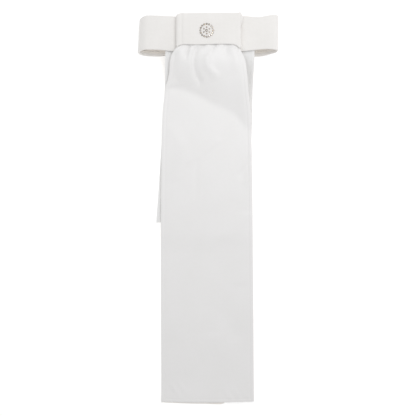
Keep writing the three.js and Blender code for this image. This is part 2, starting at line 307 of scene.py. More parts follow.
@dataclass(frozen=True)
class CutCrystal:
    """Foil-backed lead crystal: painted reflection in dark grey cells and painted glints in bright cells,
    with a rainbow coat on some facets.
    """

    name: str
    colours: tuple[str, ...]
    cell: float

    def material(self) -> bpy.types.Material:
        """Makes the crystal's material, one colour for each small cell of the stone, from the coat's tones
        and the painted reflections and glints.

        Returns:
            The material.
        """
        made = Surface(self.name, Metallic=0.75, Roughness=0.08, Coat_Weight=0.6, Coat_Roughness=0.02)
        # Painted reflection and glints: each cell takes a dark grey, a bright grey or a warm coat colour.
        cells = add(made.tree, "ShaderNodeTexVoronoi", Vector=made.where(), Scale=1 / self.cell)
        chosen = add(made.tree, "ShaderNodeSeparateColor", Color=cells.outputs["Color"])
        count = len(self.colours)
        stops = [(i / count, code) for i, code in enumerate(self.colours)]
        made.colour(chosen.outputs["Red"], stops, stepped=True)
        return made.material


@dataclass(frozen=True)
class Studio:
    """The pale floor."""

    name: str = "floor_paper"
    colour: str = "FFFFFF"

    def material(self) -> bpy.types.Material:
        """Makes a matt white paper that glows a little, as a lit sweep does.

        Returns:
            The material.
        """
        return Surface(
            self.name,
            Roughness=0.95,
            Specular_IOR_Level=0.1,
            Base_Color=linear(self.colour),
            Emission_Color=(1, 1, 1, 1),
            Emission_Strength=0.3,
        ).material


# Crisp white with a small woven check, for the band and the knot.
PIQUE = Cloth("cotton_pique", Weave.PIQUE, "F8F6F4", "EFEDEA", 2.2 * MM, 0.18 * MM, 0.8, 0.22)
# The same check in a cooler white, which sets the rear tail off from the band.
PIQUE_TAIL = Cloth("cotton_pique_tail", Weave.PIQUE, "FAFAFA", "F0F0F0", 2.2 * MM, 0.18 * MM, 0.75, 0.22)
# Smooth and a little lustrous, so that light runs along the gathers. Its floats are drawn coarser too.
SATEEN = Cloth("cotton_sateen", Weave.SATEEN, "F9F8F8", "F4F3F2", 1.5 * MM, 0.04 * MM, 0.46, 0.25)
# Warm, flat white inside the loop and under the hem.
LINING = Cloth("cotton_lawn", Weave.PLAIN, "FCF8F3", "F6F1EB", 1.2 * MM, 0.06 * MM, 0.9, 0.15)
# Dull felted white with no thread lines, between the layers.
STIFFENER = Cloth("bonded_interlining", Weave.BONDED, "F4F3F0", "E8E6E2", 0.8 * MM, 0.06 * MM, 0.95, 0.0)
# A slightly grey, even ground that the hooks and loops stand out from.
TAPE_GROUND = Cloth("nylon_tape_ground", Weave.PLAIN, "F2F2F0", "E2E1DE", 0.9 * MM, 0.1 * MM, 0.7, 0.1)
# A small smooth patch that shines more than the lining under it.
LABEL_SATIN = Cloth("label_satin", Weave.SATEEN, "F7F6F4", "EFEEEB", 0.6 * MM, 0.03 * MM, 0.4, 0.2)
# Off-white twist, just dark enough for a line of stitches to read on white cloth.
THREAD = Yarn("spun_thread", "F4F3F1", "DDDAD6", 0.5 * MM, 0.6)
# Cool white and a little shiny: stiff moulded hooks.
HOOK_NYLON = Yarn("hook_nylon", "F0F1F2", "DFE1E3", 0.8 * MM, 0.35)
# Soft, matt fuzz.
LOOP_NYLON = Yarn("loop_nylon", "F3F3F3", "E4E4E4", 0.8 * MM, 0.8)
# Painted reflections and glints: dark and bright facets side by side, for sparkle against the white, with a
# few warm ones from the coat.
CRYSTAL_WITH_PAINTED_GLINTS = CutCrystal(
    "cut_crystal", ("A09A92", "DAD6D0", "827C75", "DCCDB4", "B6B1AF", "F2F0EC", "BFB0AA"), 0.9 * MM
)


class Palette:
    """Each finish's material, made once."""

    def __init__(self) -> None:
        """Starts with nothing made."""
        self._made: dict[str, bpy.types.Material] = {}

    def of(self, finish: Cloth | Yarn | CutCrystal | Studio) -> bpy.types.Material:
        """Gives a finish's material, and makes it the first time.

        Args:
            finish: The finish.

        Returns:
            Its material.
        """
        if finish.name not in self._made:
            self._made[finish.name] = finish.material()
        return self._made[finish.name]


PALETTE = Palette()


# ---------------------------------------------------------------- numbers and meshes


def ease(t: np.ndarray | float) -> np.ndarray:
    """Runs smoothly from 0 to 1 as t does, level at both ends."""
    t = np.clip(t, 0, 1)
    return t * t * (3 - 2 * t)


def hill(x: np.ndarray, width: float) -> np.ndarray:
    """A rounded hill of height 1 at x = 0, with that half width."""
    return np.exp(-((x / width) ** 2))


def through(points: Sequence[tuple[float, float]], at: np.ndarray) -> np.ndarray:
    """Runs a smooth curve through points, without overshoot.

    Args:
        points: Pairs of place and value, in rising order of place.
        at: The places to read it at.

    Returns:
        The values there.
    """
    x, y = np.array(points, float).T
    step, slope = np.diff(x), np.diff(y) / np.diff(x)
    tangent = np.concatenate([[slope[0]], (slope[1:] + slope[:-1]) / 2, [slope[-1]]])
    tangent[1:-1][slope[1:] * slope[:-1] <= 0] = 0
    i = np.clip(np.searchsorted(x, at) - 1, 0, len(step) - 1)
    t = np.clip((at - x[i]) / step[i], 0, 1)
    h = step[i]
    return (
        (1 + 2 * t) * (1 - t) ** 2 * y[i]
        + t * (1 - t) ** 2 * h * tangent[i]
        + t * t * (3 - 2 * t) * y[i + 1]
        + t * t * (t - 1) * h * tangent[i + 1]
    )


def graded(length: float, step: float, edge: float, near: Sequence[float] = ()) -> np.ndarray:
    """Places along a length, close together at both ends, where an edge is rounded.

    Args:
        length: The whole length.
        step: The usual distance between places.
        edge: The length of each rounded edge.
        near: More places past each rounded edge, where a seam is shaped.

    Returns:
        Places from 0 to length.
    """
    rim = np.concatenate([edge * np.array([0, 0.08, 0.3, 0.65, 1.0]), near])
    count = max(2, int(round((length - 2 * rim[-1]) / step)))
    inner = np.linspace(rim[-1], length - rim[-1], count + 1)[1:-1]
    return np.concatenate([rim, inner, length - rim[::-1]])


# Distances in from a seam that its swell and its pressed line need, in metres.
SEAM_PLACES = tuple(place * MM for place in (0.9, 1.6, 2.4, 3.2, 3.7, 4.1, 4.4, 4.8, 5.3, 6.2))


def seam_swell(near: np.ndarray) -> np.ndarray:
    """How far apart two plies stand near their shared seam, as a share of the usual.

    Args:
        near: Distance from the seam.

    Returns:
        Less than 1 at the seam, and more than 1 over the turnings inside it.
    """
    plump = 0.6 * ease(near / (2 * MM)) * ease((4.2 * MM - near) / (1.0 * MM))
    pressed = 0.5 * hill(near - 4.4 * MM, 0.6 * MM)
    return 0.64 + 0.36 * ease(near / (1.6 * MM)) + plump - pressed


def seamed_grid(
    wide: float, long: float, steps: tuple[float, float], rims: tuple[float, float]
) -> tuple[np.ndarray, np.ndarray]:
    """Shares of a ply's width and length, close together near its seams.

    Args:
        wide: Its usual width.
        long: Its usual length.
        steps: The usual distance between points, across and down.
        rims: The share that a rounded edge takes, across and down.

    Returns:
        A grid of shares across and a grid of shares down.
    """
    across, down = (
        graded(1.0, step / size, rim, [place / size for place in SEAM_PLACES])
        for size, step, rim in zip((wide, long), steps, rims)
    )
    return np.meshgrid(across, down, indexing="ij")


def run_along(points: np.ndarray) -> np.ndarray:
    """Distance along a line of points from its first one."""
    return np.concatenate([[0], np.cumsum(np.linalg.norm(np.diff(points, axis=0), axis=1))])


def in_metres(pairs: Sequence[tuple[float, float]]) -> list[tuple[float, float]]:
    """Turns pairs of millimetres to metres."""
    return [(a * MM, b * MM) for a, b in pairs]


def facing(up: float, count: int) -> np.ndarray:
    """The same direction for each of some points: 1.0 is straight up, and -1.0 straight down."""
    return np.tile([0.0, 0.0, up], (count, 1))


def grid_normals(mid: np.ndarray) -> np.ndarray:
    """Unit normals of a grid of points."""
    normal = np.cross(np.gradient(mid, axis=0), np.gradient(mid, axis=1))
    return normal / np.maximum(np.linalg.norm(normal, axis=2, keepdims=True), 1e-12)


def along_grid(mid: np.ndarray, axis: int) -> np.ndarray:
    """Distance along a grid of points from its first row or column.

    Args:
        mid: The grid.
        axis: 0 to go from row to row, 1 from column to column.

    Returns:
        The distance at each point.
    """
    steps = np.linalg.norm(np.diff(mid, axis=axis), axis=2)
    pad = [(1, 0), (0, 0)] if axis == 0 else [(0, 0), (1, 0)]
    return np.pad(np.cumsum(steps, axis=axis), pad)


def mesh_piece(
    name: str, points: np.ndarray, faces: list, uv: np.ndarray | None = None
) -> bpy.types.Object:
    """Makes a mesh object at the origin, with its faces pointing outwards.

    Args:
        name: The piece's name.
        points: Its vertices.
        faces: Its faces, as vertex numbers.
        uv: A UV for each vertex, in metres.

    Returns:
        The linked object.
    """
    mesh = bpy.data.meshes.new(name)
    mesh.from_pydata(points.tolist(), [], faces)
    if uv is not None:
        layer = mesh.uv_layers.new(name="cut")
        corners = np.zeros(len(mesh.loops), int)
        mesh.loops.foreach_get("vertex_index", corners)
        layer.data.foreach_set("uv", uv[corners].astype(np.float32).ravel())
    work = bmesh.new()
    work.from_mesh(mesh)
    if work.calc_volume(signed=True) < 0:
        bmesh.ops.reverse_faces(work, faces=work.faces)
    work.to_mesh(mesh)
    work.free()
    mesh.shade_smooth()
    piece = bpy.data.objects.new(name, mesh)
    bpy.context.scene.collection.objects.link(piece)
    return piece


def ply(name: str, mid: np.ndarray, half: float, finish: Cloth) -> bpy.types.Object:
    """Makes one layer of cloth as a closed mesh with rounded edges.

    Args:
        name: The piece's name.
        mid: A grid of points on its middle surface.
        half: Half its thickness.
        finish: What it is made of.

    Returns:
        The piece.
    """
    rows, cols = mid.shape[:2]
    run = [along_grid(mid, axis) for axis in (0, 1)]
    reach = np.minimum.reduce([run[0], run[0][-1:] - run[0], run[1], run[1][:, -1:] - run[1]])
    thick = half * np.sqrt(1 - (1 - np.clip(reach / half, 0, 1)) ** 2)
    offset = grid_normals(mid) * thick[..., None]
    upper = np.arange(rows * cols).reshape(rows, cols)
    inner = (slice(1, -1), slice(1, -1))
    lower = upper.copy()
    lower[inner] = rows * cols + np.arange((rows - 2) * (cols - 2)).reshape(rows - 2, cols - 2)
    points = np.concatenate([(mid + offset).reshape(-1, 3), (mid - offset)[inner].reshape(-1, 3)])
    flat = np.stack([run[0], run[1]], axis=2)
    uv = np.concatenate([flat.reshape(-1, 2), flat[inner].reshape(-1, 2)])

    def quads(index: np.ndarray) -> np.ndarray:
        """The grid's faces, as rows of four vertex numbers."""
        corners = [index[:-1, :-1], index[1:, :-1], index[1:, 1:], index[:-1, 1:]]
        return np.stack(corners, axis=2).reshape(-1, 4)

    faces = np.concatenate([quads(upper), quads(lower)[:, ::-1]])
    piece = mesh_piece(name, points, faces.tolist(), uv)
    piece.data.materials.append(PALETTE.of(finish))
    return piece


def flat_ply(name: str, low: Vector, high: Vector, finish: Cloth, step: float = 2 * MM) -> bpy.types.Object:
    """Makes a level layer of cloth that fills a box.

    Args:
        name: The piece's name.
        low: The box's lowest corner.
        high: Its highest corner.
        finish: What it is made of.
        step: The distance between points.

    Returns:
        The piece.
    """
    half = (high.z - low.z) / 2
    x = low.x + graded(high.x - low.x, step, half)
    y = low.y + graded(high.y - low.y, step, half)
    grid = np.stack([*np.meshgrid(x, y, indexing="ij"), np.full((len(x), len(y)), low.z + half)], axis=2)
    return ply(name, grid, half, finish)


# How far in from the edge of a cut the points stand close together.
CUT_EDGE = 0.4 * MM


@dataclass
class Section:
    """A cloth's cut, seen end on. Each point is a share of the height, an extra height and a depth."""

    share: np.ndarray
    extra: np.ndarray
    depth: np.ndarray

    @staticmethod
    def turned(front: float, back: float, turn: float, height: float, step: float) -> "Section":
        """Cloth whose long edges are folded round to the back.

        Args:
            front: Depth of the front layer.
            back: Depth of what is turned in, behind it.
            turn: How much is turned in.
            height: The usual height, which sets how many points there are.
            step: The distance between points.

        Returns:
            The section, from the lower turned edge to the upper one.
        """
        radius = (front - back) / 2
        middle = (front + back) / 2
        rim = graded(2 * turn, step, CUT_EDGE)
        inside = rim[rim <= turn]
        bend = np.linspace(0, math.pi, 9)[1:-1]
        rise = np.linspace(0, 1, int(height / step))
        lower_extra = np.concatenate([radius + turn - inside, radius - radius * np.sin(bend)])
        lower_depth = np.concatenate([np.full(len(inside), back), middle - radius * np.cos(bend)])
        zero, one = np.zeros(len(lower_extra)), np.ones(len(lower_extra))
        return Section(
            np.concatenate([zero, rise, one]),
            np.concatenate([lower_extra, radius * (1 - 2 * rise), -lower_extra[::-1]]),
            np.concatenate([lower_depth, np.full(len(rise), front), lower_depth[::-1]]),
        )

    @staticmethod
    def laid(depth: float, inset: float, height: float, step: float, rise: float = 0.0) -> "Section":
        """A flat layer that stops short of both edges, and may step over a turned edge there.

        Args:
            depth: Its depth.
            inset: How far it stops short of each edge.
            height: The usual height of the whole cloth.
            step: The distance between points.
            rise: How much deeper it lies at its edges.

        Returns:
            The section, from the lower edge to the upper one.
        """
        width = height - 2 * inset
        place = graded(width, step, CUT_EDGE)
        near = np.minimum(place, width - place)
        share = place / width
        stepped = rise * (1 - ease((near - 1.5 * MM) / (2 * MM)))
        return Section(share, inset * (1 - 2 * share), depth - stepped)


def sweep(
    line: np.ndarray,
    section: Section,
    low: np.ndarray,
    high: np.ndarray,
    ripple: Callable[[np.ndarray, np.ndarray, np.ndarray, np.ndarray], np.ndarray] | None = None,
) -> np.ndarray:
    """Carries a section along a line in the X and Z plane.

    Args:
        line: The line's points, with the cloth's front to the left of it.
        section: The cloth's section, whose height runs along Y.
        low: Y of the lower edge at each point of the line.
        high: Y of the upper edge there.
        ripple: Extra depth, from the distance along the line, the share of the height, and the line's
            X and Z.

    Returns:
        A grid of points.
    """
    tangent = np.gradient(line, axis=0)
    tangent /= np.linalg.norm(tangent, axis=1, keepdims=True)
    front = np.stack([-tangent[:, 1], tangent[:, 0]], axis=1)
    run = run_along(line)
    share = np.broadcast_to(section.share, (len(line), len(section.share)))
    y = low[:, None] + share * (high - low)[:, None] + section.extra
    depth = np.broadcast_to(section.depth, y.shape)
    if ripple is not None:
        depth = depth + ripple(run[:, None] + 0 * y, share, line[:, :1] + 0 * y, line[:, 1:] + 0 * y)
    x = line[:, :1] + front[:, :1] * depth
    z = line[:, 1:] + front[:, 1:] * depth
    return np.stack([x, y, z], axis=2)


def resample(points: np.ndarray, places: np.ndarray) -> np.ndarray:
    """Reads a line of points at distances along it.

    Args:
        points: The line, in two dimensions.
        places: Distances along it, the last of which is its end.

    Returns:
        A point for each place.
    """
    run = run_along(points)
    return np.stack([np.interp(places * run[-1] / places[-1], run, points[:, k]) for k in range(2)], axis=1)


# ---------------------------------------------------------------- geometry nodes


# Picks which parts come out a little larger or smaller.
SIZE_SEED = 7


class Repeater:
    """A Geometry Nodes tree that puts a small part on points, turned to each point's own direction."""

    INPUTS = {
        "Geometry": "Geometry",
        "Part": "Object",
        "Size": "Float",
        "Unevenness": "Float",
        "Seed": "Int",
        "Finish": "Material",
    }

    def __init__(self, name: str) -> None:
        """Builds the tree.

        Args:
            name: The tree's name.
        """
        self.tree = tree = bpy.data.node_groups.new(name, "GeometryNodeTree")
        for label, kind in self.INPUTS.items():
            tree.interface.new_socket(label, in_out="INPUT", socket_type=f"NodeSocket{kind}")
        tree.interface.new_socket("Geometry", in_out="OUTPUT", socket_type="NodeSocketGeometry")
        given = add(tree, "NodeGroupInput").outputs
        part = add(tree, "GeometryNodeObjectInfo", Object=given["Part"]).outputs["Geometry"]
        along, up, scale = (
            add(tree, "GeometryNodeInputNamedAttribute", {"data_type": kind}, Name=key).outputs["Attribute"]
            for key, kind in (("along", "FLOAT_VECTOR"), ("up", "FLOAT_VECTOR"), ("scale", "FLOAT"))
        )
        align = "FunctionNodeAlignRotationToVector"
        first = add(tree, align, {"axis": "X"}, Vector=along).outputs[0]
        turned = add(tree, align, {"axis": "Z", "pivot_axis": "X"}, Rotation=first, Vector=up).outputs[0]
        chance = add(
            tree, "FunctionNodeRandomValue", {"data_type": "FLOAT"}, i2=-1.0, i3=1.0, Seed=given["Seed"]
        )
        uneven = compute(tree, "MULTIPLY_ADD", chance.outputs[1], given["Unevenness"], 1.0)
        sized = compute(tree, "MULTIPLY", uneven, given["Size"])
        final = compute(tree, "MULTIPLY", sized, scale)
        points = add(tree, "GeometryNodeMeshToPoints", Mesh=given["Geometry"]).outputs[0]
        placed = add(
            tree,
            "GeometryNodeInstanceOnPoints",
            Points=points,
            Instance=part,
            Rotation=turned,
            Scale=final,
        ).outputs[0]
        real = add(tree, "GeometryNodeRealizeInstances", Geometry=placed).outputs[0]
        dressed = add(tree, "GeometryNodeSetMaterial", Geometry=real, Material=given["Finish"]).outputs[0]
        tree.links.new(dressed, add(tree, "NodeGroupOutput").inputs[0])

    def make(
        self,
        name: str,
        part: bpy.types.Object,
        points: np.ndarray,
        along: np.ndarray,
        up: np.ndarray,
        finish: Cloth | Yarn | CutCrystal,
        scale: np.ndarray | None = None,
        unevenness: float = 0.0,
        smooth: bool = True,
    ) -> bpy.types.Object:
        """Puts the part on each point and gives one plain mesh.

        Args:
            name: The piece's name.
            part: The small mesh that repeats. Its X runs along the line, and its Z up from the surface.
            points: Where the parts go.
            along: The direction of each part's X.
            up: The direction of each part's Z.
            finish: What they are made of.
            scale: Each part's own scale, or none for all alike.
            unevenness: How far a part's size may differ, as a share.
            smooth: Whether the parts are smooth or faceted.

        Returns:
            The piece.
        """
        seedbed = bpy.data.meshes.new(name)
        seedbed.from_pydata(points.tolist(), [], [])
        sizes = np.ones(len(points)) if scale is None else scale
        for key, kind, values in (
            ("along", "FLOAT_VECTOR", along),
            ("up", "FLOAT_VECTOR", up),
            ("scale", "FLOAT", sizes),
        ):
            layer = seedbed.attributes.new(key, kind, "POINT")
            layer.data.foreach_set(
                "value" if kind == "FLOAT" else "vector", np.ascontiguousarray(values, np.float32).ravel()
            )
        holder = bpy.data.objects.new(name, seedbed)
        bpy.context.scene.collection.objects.link(holder)
        modifier = holder.modifiers.new("repeat", "NODES")
        modifier.node_group = self.tree
        values = {
            "Part": part,
            "Size": 1.0,
            "Unevenness": unevenness,
            "Seed": SIZE_SEED,
            "Finish": PALETTE.of(finish),
        }
        for item in self.tree.interface.items_tree:
            if item.in_out == "INPUT" and item.name in values:
                modifier[item.identifier] = values[item.name]
        bpy.context.view_layer.update()
        evaluated = holder.evaluated_get(bpy.context.evaluated_depsgraph_get())
        made = bpy.data.meshes.new_from_object(evaluated)
        holder.modifiers.clear()
        holder.data = made
        bpy.data.meshes.remove(seedbed)
        made.name = name
        if smooth:
            made.shade_smooth()
        else:
            made.shade_flat()
        return holder


def hidden_part(name: str, points: np.ndarray, faces: list) -> bpy.types.Object:
    """Makes a small mesh that only repeats elsewhere, and isn't shown itself.

    Args:
        name: Its name.
        points: Its vertices.
        faces: Its faces, as vertex numbers.

    Returns:
        The mesh object, in no collection.
    """
    part = mesh_piece(name, points, faces)
    bpy.context.scene.collection.objects.unlink(part)
    return part


def rod_part(name: str, line: np.ndarray, radius: Sequence[float], sides: int) -> bpy.types.Object:
    """Makes a small rod along a line in the X and Z plane, closed at both ends.

    Args:
        name: Its name.
        line: The line's points.
        radius: The rod's radius at each point.
        sides: How many sides it has.

    Returns:
        The rod, hidden.
    """
    tangent = np.gradient(line, axis=0)
    tangent /= np.linalg.norm(tangent, axis=1, keepdims=True)
    turn = 2 * math.pi * np.arange(sides) / sides
    rings = [
        np.stack([p[0] - t[1] * r * np.cos(turn), r * np.sin(turn), p[1] + t[0] * r * np.cos(turn)], axis=1)
        for p, t, r in zip(line, tangent, radius)
    ]
    faces: list = [
        [i * sides + j, i * sides + (j + 1) % sides, (i + 1) * sides + (j + 1) % sides, (i + 1) * sides + j]
        for i in range(len(line) - 1)
        for j in range(sides)
    ]
    faces += [list(range(sides))[::-1], [(len(line) - 1) * sides + j for j in range(sides)]]
    return hidden_part(name, np.concatenate(rings), faces)


def stitch_part(length: float, radius: float) -> bpy.types.Object:
    """One stitch: thread that comes up, runs along the cloth and goes down again.

    Args:
        length: Of the stitch.
        radius: Of the thread.

    Returns:
        The stitch, hidden.
    """
    t = np.linspace(-1, 1, 7)
    line = np.stack([t * length / 2, radius * 1.1 * (1 - t**4) - radius * 0.6], axis=1)
    return rod_part("stitch", line, radius * np.sqrt(1.02 - 0.75 * t**6), 6)


class Sewing:
    """Lines of stitches on cloth."""

    def __init__(
        self, pitch: float = 3.2 * MM, length: float = 2.4 * MM, radius: float = 0.24 * MM
    ) -> None:
        """Sets the stitches' pitch, length and thickness.

        Args:
            pitch: From one stitch to the next.
            length: Of one stitch.
            radius: Of the thread.
        """
        self.pitch = pitch
        self.part = stitch_part(length, radius)
        self.repeater = Repeater("stitch_line")

    def line(self, name: str, runs: Sequence[tuple[np.ndarray, np.ndarray]]) -> bpy.types.Object:
        """Sews lines of stitches as one piece.

        Args:
            name: The piece's name.
            runs: For each line, its points and the cloth's normal at each.

        Returns:
            The stitches.
        """
        found = [[], [], []]
        for points, normals in runs:
            run = run_along(points)
            count = max(1, int(run[-1] / self.pitch))
            at = (np.arange(count) + 0.5) * run[-1] / count
            half = self.pitch / 4
            wanted = ((at, points), (at, normals), (at + half, points), (at - half, points))
            place, up, ahead, behind = (
                np.stack([np.interp(where, run, values[:, k]) for k in range(3)], axis=1)
                for where, values in wanted
            )
            found[0].append(place)
            found[1].append(ahead - behind)
            found[2].append(up)
        place, along, up = (np.concatenate(values) for values in found)
        return self.repeater.make(name, self.part, place, along, up, THREAD, unevenness=0.06)


# ---------------------------------------------------------------- neck band


@dataclass
class NeckBand:
    """The flattened loop of the neck band, in a left and a right half that meet under the knot."""

    face_half: float = 0.28 * MM
    stiffener_half: float = 0.2 * MM
    layer_depth: float = 0.8 * MM
    turn: float = 4.0 * MM
    stiffener_inset: float = 1.7 * MM
    lining_inset: float = 3.2 * MM
    step: float = 2.0 * MM
    fold_power: dict[int, float] = field(default_factory=lambda: {-1: 2.0, 1: 2.9})
    # How far the lower and upper edges stray from straight, in mm, against the distance from the middle.
    throat_low: dict[int, tuple] = field(
        default_factory=lambda: {
            -1: ((0, -0.6), (38, -1.3), (56, 0.5), (69, 0.9), (80, 0.1), (83, -1.3)),
            1: ((0, -0.6), (39, -1.3), (54, 0.3), (68, 1.45), (78, 1.1), (83, 1.8)),
        }
    )
    throat_high: dict[int, tuple] = field(
        default_factory=lambda: {
            -1: ((0, -0.4), (37, -0.9), (60, 0), (70, 0.1), (76, -0.7), (80, -1.5), (83, -2.0)),
            1: ((0, -0.2), (42, -0.3), (55, -1.8), (62, -1.5), (70, 0.2), (80, 1.4), (83, 2.0)),
        }
    )
    nape_low: dict[int, tuple] = field(
        default_factory=lambda: {
            -1: ((-50, -2.4), (40, -2.3), (50, -1.5), (60, -2.2), (76, -1.6), (83, -1.3)),
            1: ((10, -2.4), (56, -2.2), (66, -1.7), (76, 1.1), (83, 1.8)),
        }
    )
    nape_high: dict[int, tuple] = field(
        default_factory=lambda: {
            -1: ((-50, -2.4), (60, -2.4), (83, -2.0)),
            1: ((10, -2.4), (56, -2.4), (70, -0.9), (83, 2.0)),
        }
    )
    fold_lean: dict[int, float] = field(default_factory=lambda: {-1: 2.4 * MM, 1: 0.0})
    # A pressed line near each fold: its place, height and half width.
    pressed: dict[int, tuple] = field(
        default_factory=lambda: {-1: (73 * MM, 0.25 * MM, 1.5 * MM), 1: (78 * MM, -0.3 * MM, 1.0 * MM)}
    )
    dip_depth: dict[int, float] = field(default_factory=lambda: {-1: 0.45 * MM, 1: 0.8 * MM})
    half: float = 1.1 * MM
    join_gap: float = 0.4 * MM
    lap_ramp: float = 8.0 * MM
    crease_reach: float = 4.6 * MM
    # More places across the knot's edge in mm, where the band dips.
    beside_knot: tuple[float, ...] = (-1.2, -0.5, 0.1, 0.6, 1.2, 1.8, 2.6, 3.6)
    # How much shorter the stiffener and lining are at the free end.
    short: float = 1.2 * MM

    def __post_init__(self) -> None:
        """Reads the band's places from the frame."""
        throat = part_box("throat_band_face")
        self.nape = {-1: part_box("left_nape_band_face"), 1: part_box("right_nape_band_face")}
        self.radius = throat[1].z / 2
        self.fold_x = throat[1].x - self.radius
        self.knot_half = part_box("knot_front")[1].x
        self.low, self.high = throat[0].y, throat[1].y
        self.lap_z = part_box("loop_tape")[1].z + 0.3 * MM + self.half

    def line(self, side: int) -> np.ndarray:
        """The half's middle line in X and Z, from the throat to the free end.

        Args:
            side: -1 on the left, +1 on the right.

        Returns:
            Its points.
        """
        top = 2 * self.radius - self.half
        bend = self.radius - self.half
        turn = np.linspace(math.pi / 2, -math.pi / 2, 41)
        power = 2 / self.fold_power[side]
        arc_x = self.fold_x + bend * np.abs(np.cos(turn)) ** power
        arc_z = self.radius + bend * np.sign(np.sin(turn)) * np.abs(np.sin(turn)) ** power
        throat_x = np.linspace(self.join_gap, self.fold_x, 30)[:-1]
        if side < 0:
            nape_x = np.linspace(self.fold_x, -self.nape[-1][1].x, 60)[1:]
            nape_z = np.full(len(nape_x), self.half)
        else:
            end = self.nape[1][0].x
            foot = self.nape[-1][1].x + self.lap_ramp
            nape_x = np.linspace(self.fold_x, end, 80)[1:]
            nape_z = self.half + (self.lap_z - self.half) * ease((foot - nape_x) / self.lap_ramp)
        x = np.concatenate([throat_x, arc_x, nape_x])
        z = np.concatenate([np.full(len(throat_x), top), arc_z, nape_z])
        return np.stack([side * x, z], axis=1)

    def layer(
        self, side: int, section: Section, ripple: Callable | None = None, trim: float = 0.0
    ) -> np.ndarray:
        """One layer of a half, as a grid of points.

        Args:
            side: -1 on the left, +1 on the right.
            section: The layer's section.
            ripple: Extra depth.
            trim: How much shorter it is at the free end.

        Returns:
            The grid.
        """
        dense = self.line(side)
        length = run_along(dense)[-1]
        beside_knot = [self.knot_half - self.join_gap + place * MM for place in self.beside_knot]
        places = graded(length, self.step, self.face_half, beside_knot)
        line = resample(dense, places)
        if trim:
            keep = places <= length - trim
            line = line[keep]
        low, high = self.edges(side, line)
        if side < 0:
            # Swept from the free end, so that the outside of the loop is to the left of the line.
            line, low, high = line[::-1], low[::-1], high[::-1]
        points = sweep(line, section, low, high, ripple)
        lean = (points[..., 1] - self.low) / (self.high - self.low) * hill(
            side * points[..., 0] - self.fold_x - self.radius, 9 * MM
        )
        points[..., 0] += self.fold_lean[side] * lean
        points[..., 2] = np.maximum(points[..., 2], self.face_half)
        return points

    def edges(self, side: int, line: np.ndarray) -> tuple[np.ndarray, np.ndarray]:
        """Y of a half's lower and upper edge at each point of its line.

        Args:
            side: -1 on the left, +1 on the right.
            line: The line, in X and Z.

        Returns:
            The lower edge and the upper edge.
        """
        fallen = ease((2 * self.radius - line[:, 1]) / (2 * self.radius))
        out = side * line[:, 0] / MM
        strays = ((self.throat_low, self.nape_low), (self.throat_high, self.nape_high))
        low, high = (
            through(throat[side], out) * (1 - fallen) + through(nape[side], out) * fallen
            for throat, nape in strays
        )
        return self.low + low * MM, self.high + high * MM

    def cross(self, piece: bpy.types.Object, body: str) -> None:
        """Bakes a piece's placement into its mesh."""
        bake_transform(piece)

    def fell(self, word: str, grid: np.ndarray, sewing: Sewing) -> bpy.types.Object:
        """Sews the two long edges of a lining down to the turned face cloth.

        Args:
            word: Left or right, for the piece's name.
            grid: The lining.
            sewing: What sews it.

        Returns:
            The stitches.
        """
        inside = -grid_normals(grid)
        run = along_grid(grid, 1)[0]
        margin = 1.2 * MM
        kept = slice(6, -6)
        rows = []
        for column in (int(np.argmax(run > margin)), int(np.argmax(run > run[-1] - margin))):
            points = grid[kept, column] + inside[kept, column] * self.face_half
            rows.append((points, inside[kept, column]))
        return sewing.line(f"neck_band_{word}_stitches", rows)

    def build(self, sewing: Sewing) -> list[bpy.types.Object]:
        """Makes the face, stiffener, lining and stitches of both halves.

        Args:
            sewing: What sews them.

        Returns:
            The pieces.
        """
        height = self.high - self.low
        made = []
        for side, word in ((-1, "left"), (1, "right")):
            body = f"{word}_nape"

            def ripple(
                run: np.ndarray, share: np.ndarray, x: np.ndarray, z: np.ndarray, side: int = side
            ) -> np.ndarray:
                """The slight unevenness of pressed cloth, with a crease by the fold and a dip by the knot.

                Args:
                    run: Distance along the line.
                    share: Share of the height.
                    x: The line's X.
                    z: The line's Z.
                    side: -1 on the left, +1 on the right.

                Returns:
                    The extra depth.
                """
                slow = np.sin(run / (17 * MM) + side) * np.sin(share * 3.1 + 1.2 * side)
                quick = np.sin(run / (6.1 * MM) + share * 5.0)
                throat = ease((z - self.radius) / self.crease_reach)
                place, height, width = self.pressed[side]
                crease = height * hill(side * x - place, width)
                dip = -self.dip_depth[side] * hill(side * x - self.knot_half - 0.3 * MM, 2.1 * MM)
                return (0.16 * slow + 0.04 * quick) * MM + (crease + dip) * throat

            depth, step = self.layer_depth, self.step
            face = Section.turned(depth, -depth, self.turn, height, step)
            stiffener = Section.laid(0.0, self.stiffener_inset, height, step)
            lining = Section.laid(-depth, self.lining_inset, height, step, 0.65 * MM)
            layers = (
                ("face", "band_cloth", face, PIQUE, self.face_half, 0.0),
                ("interlining", "interlining", stiffener, STIFFENER, self.stiffener_half, self.short),
                ("lining", "lining_cloth", lining, LINING, self.face_half, self.short),
            )
            for part, slot, section, finish, half, trim in layers:
                grid = self.layer(side, section, ripple, trim)
                piece = ply(f"neck_band_{word}_{part}", grid, half, finish)
                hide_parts(f"{body}_band_{part}", f"throat_band_{part}")
                self.cross(piece, body)
                made.append(piece)
            stitches = self.fell(word, grid, sewing)
            self.cross(stitches, body)
            made.append(stitches)
        return made


# ---------------------------------------------------------------- knot


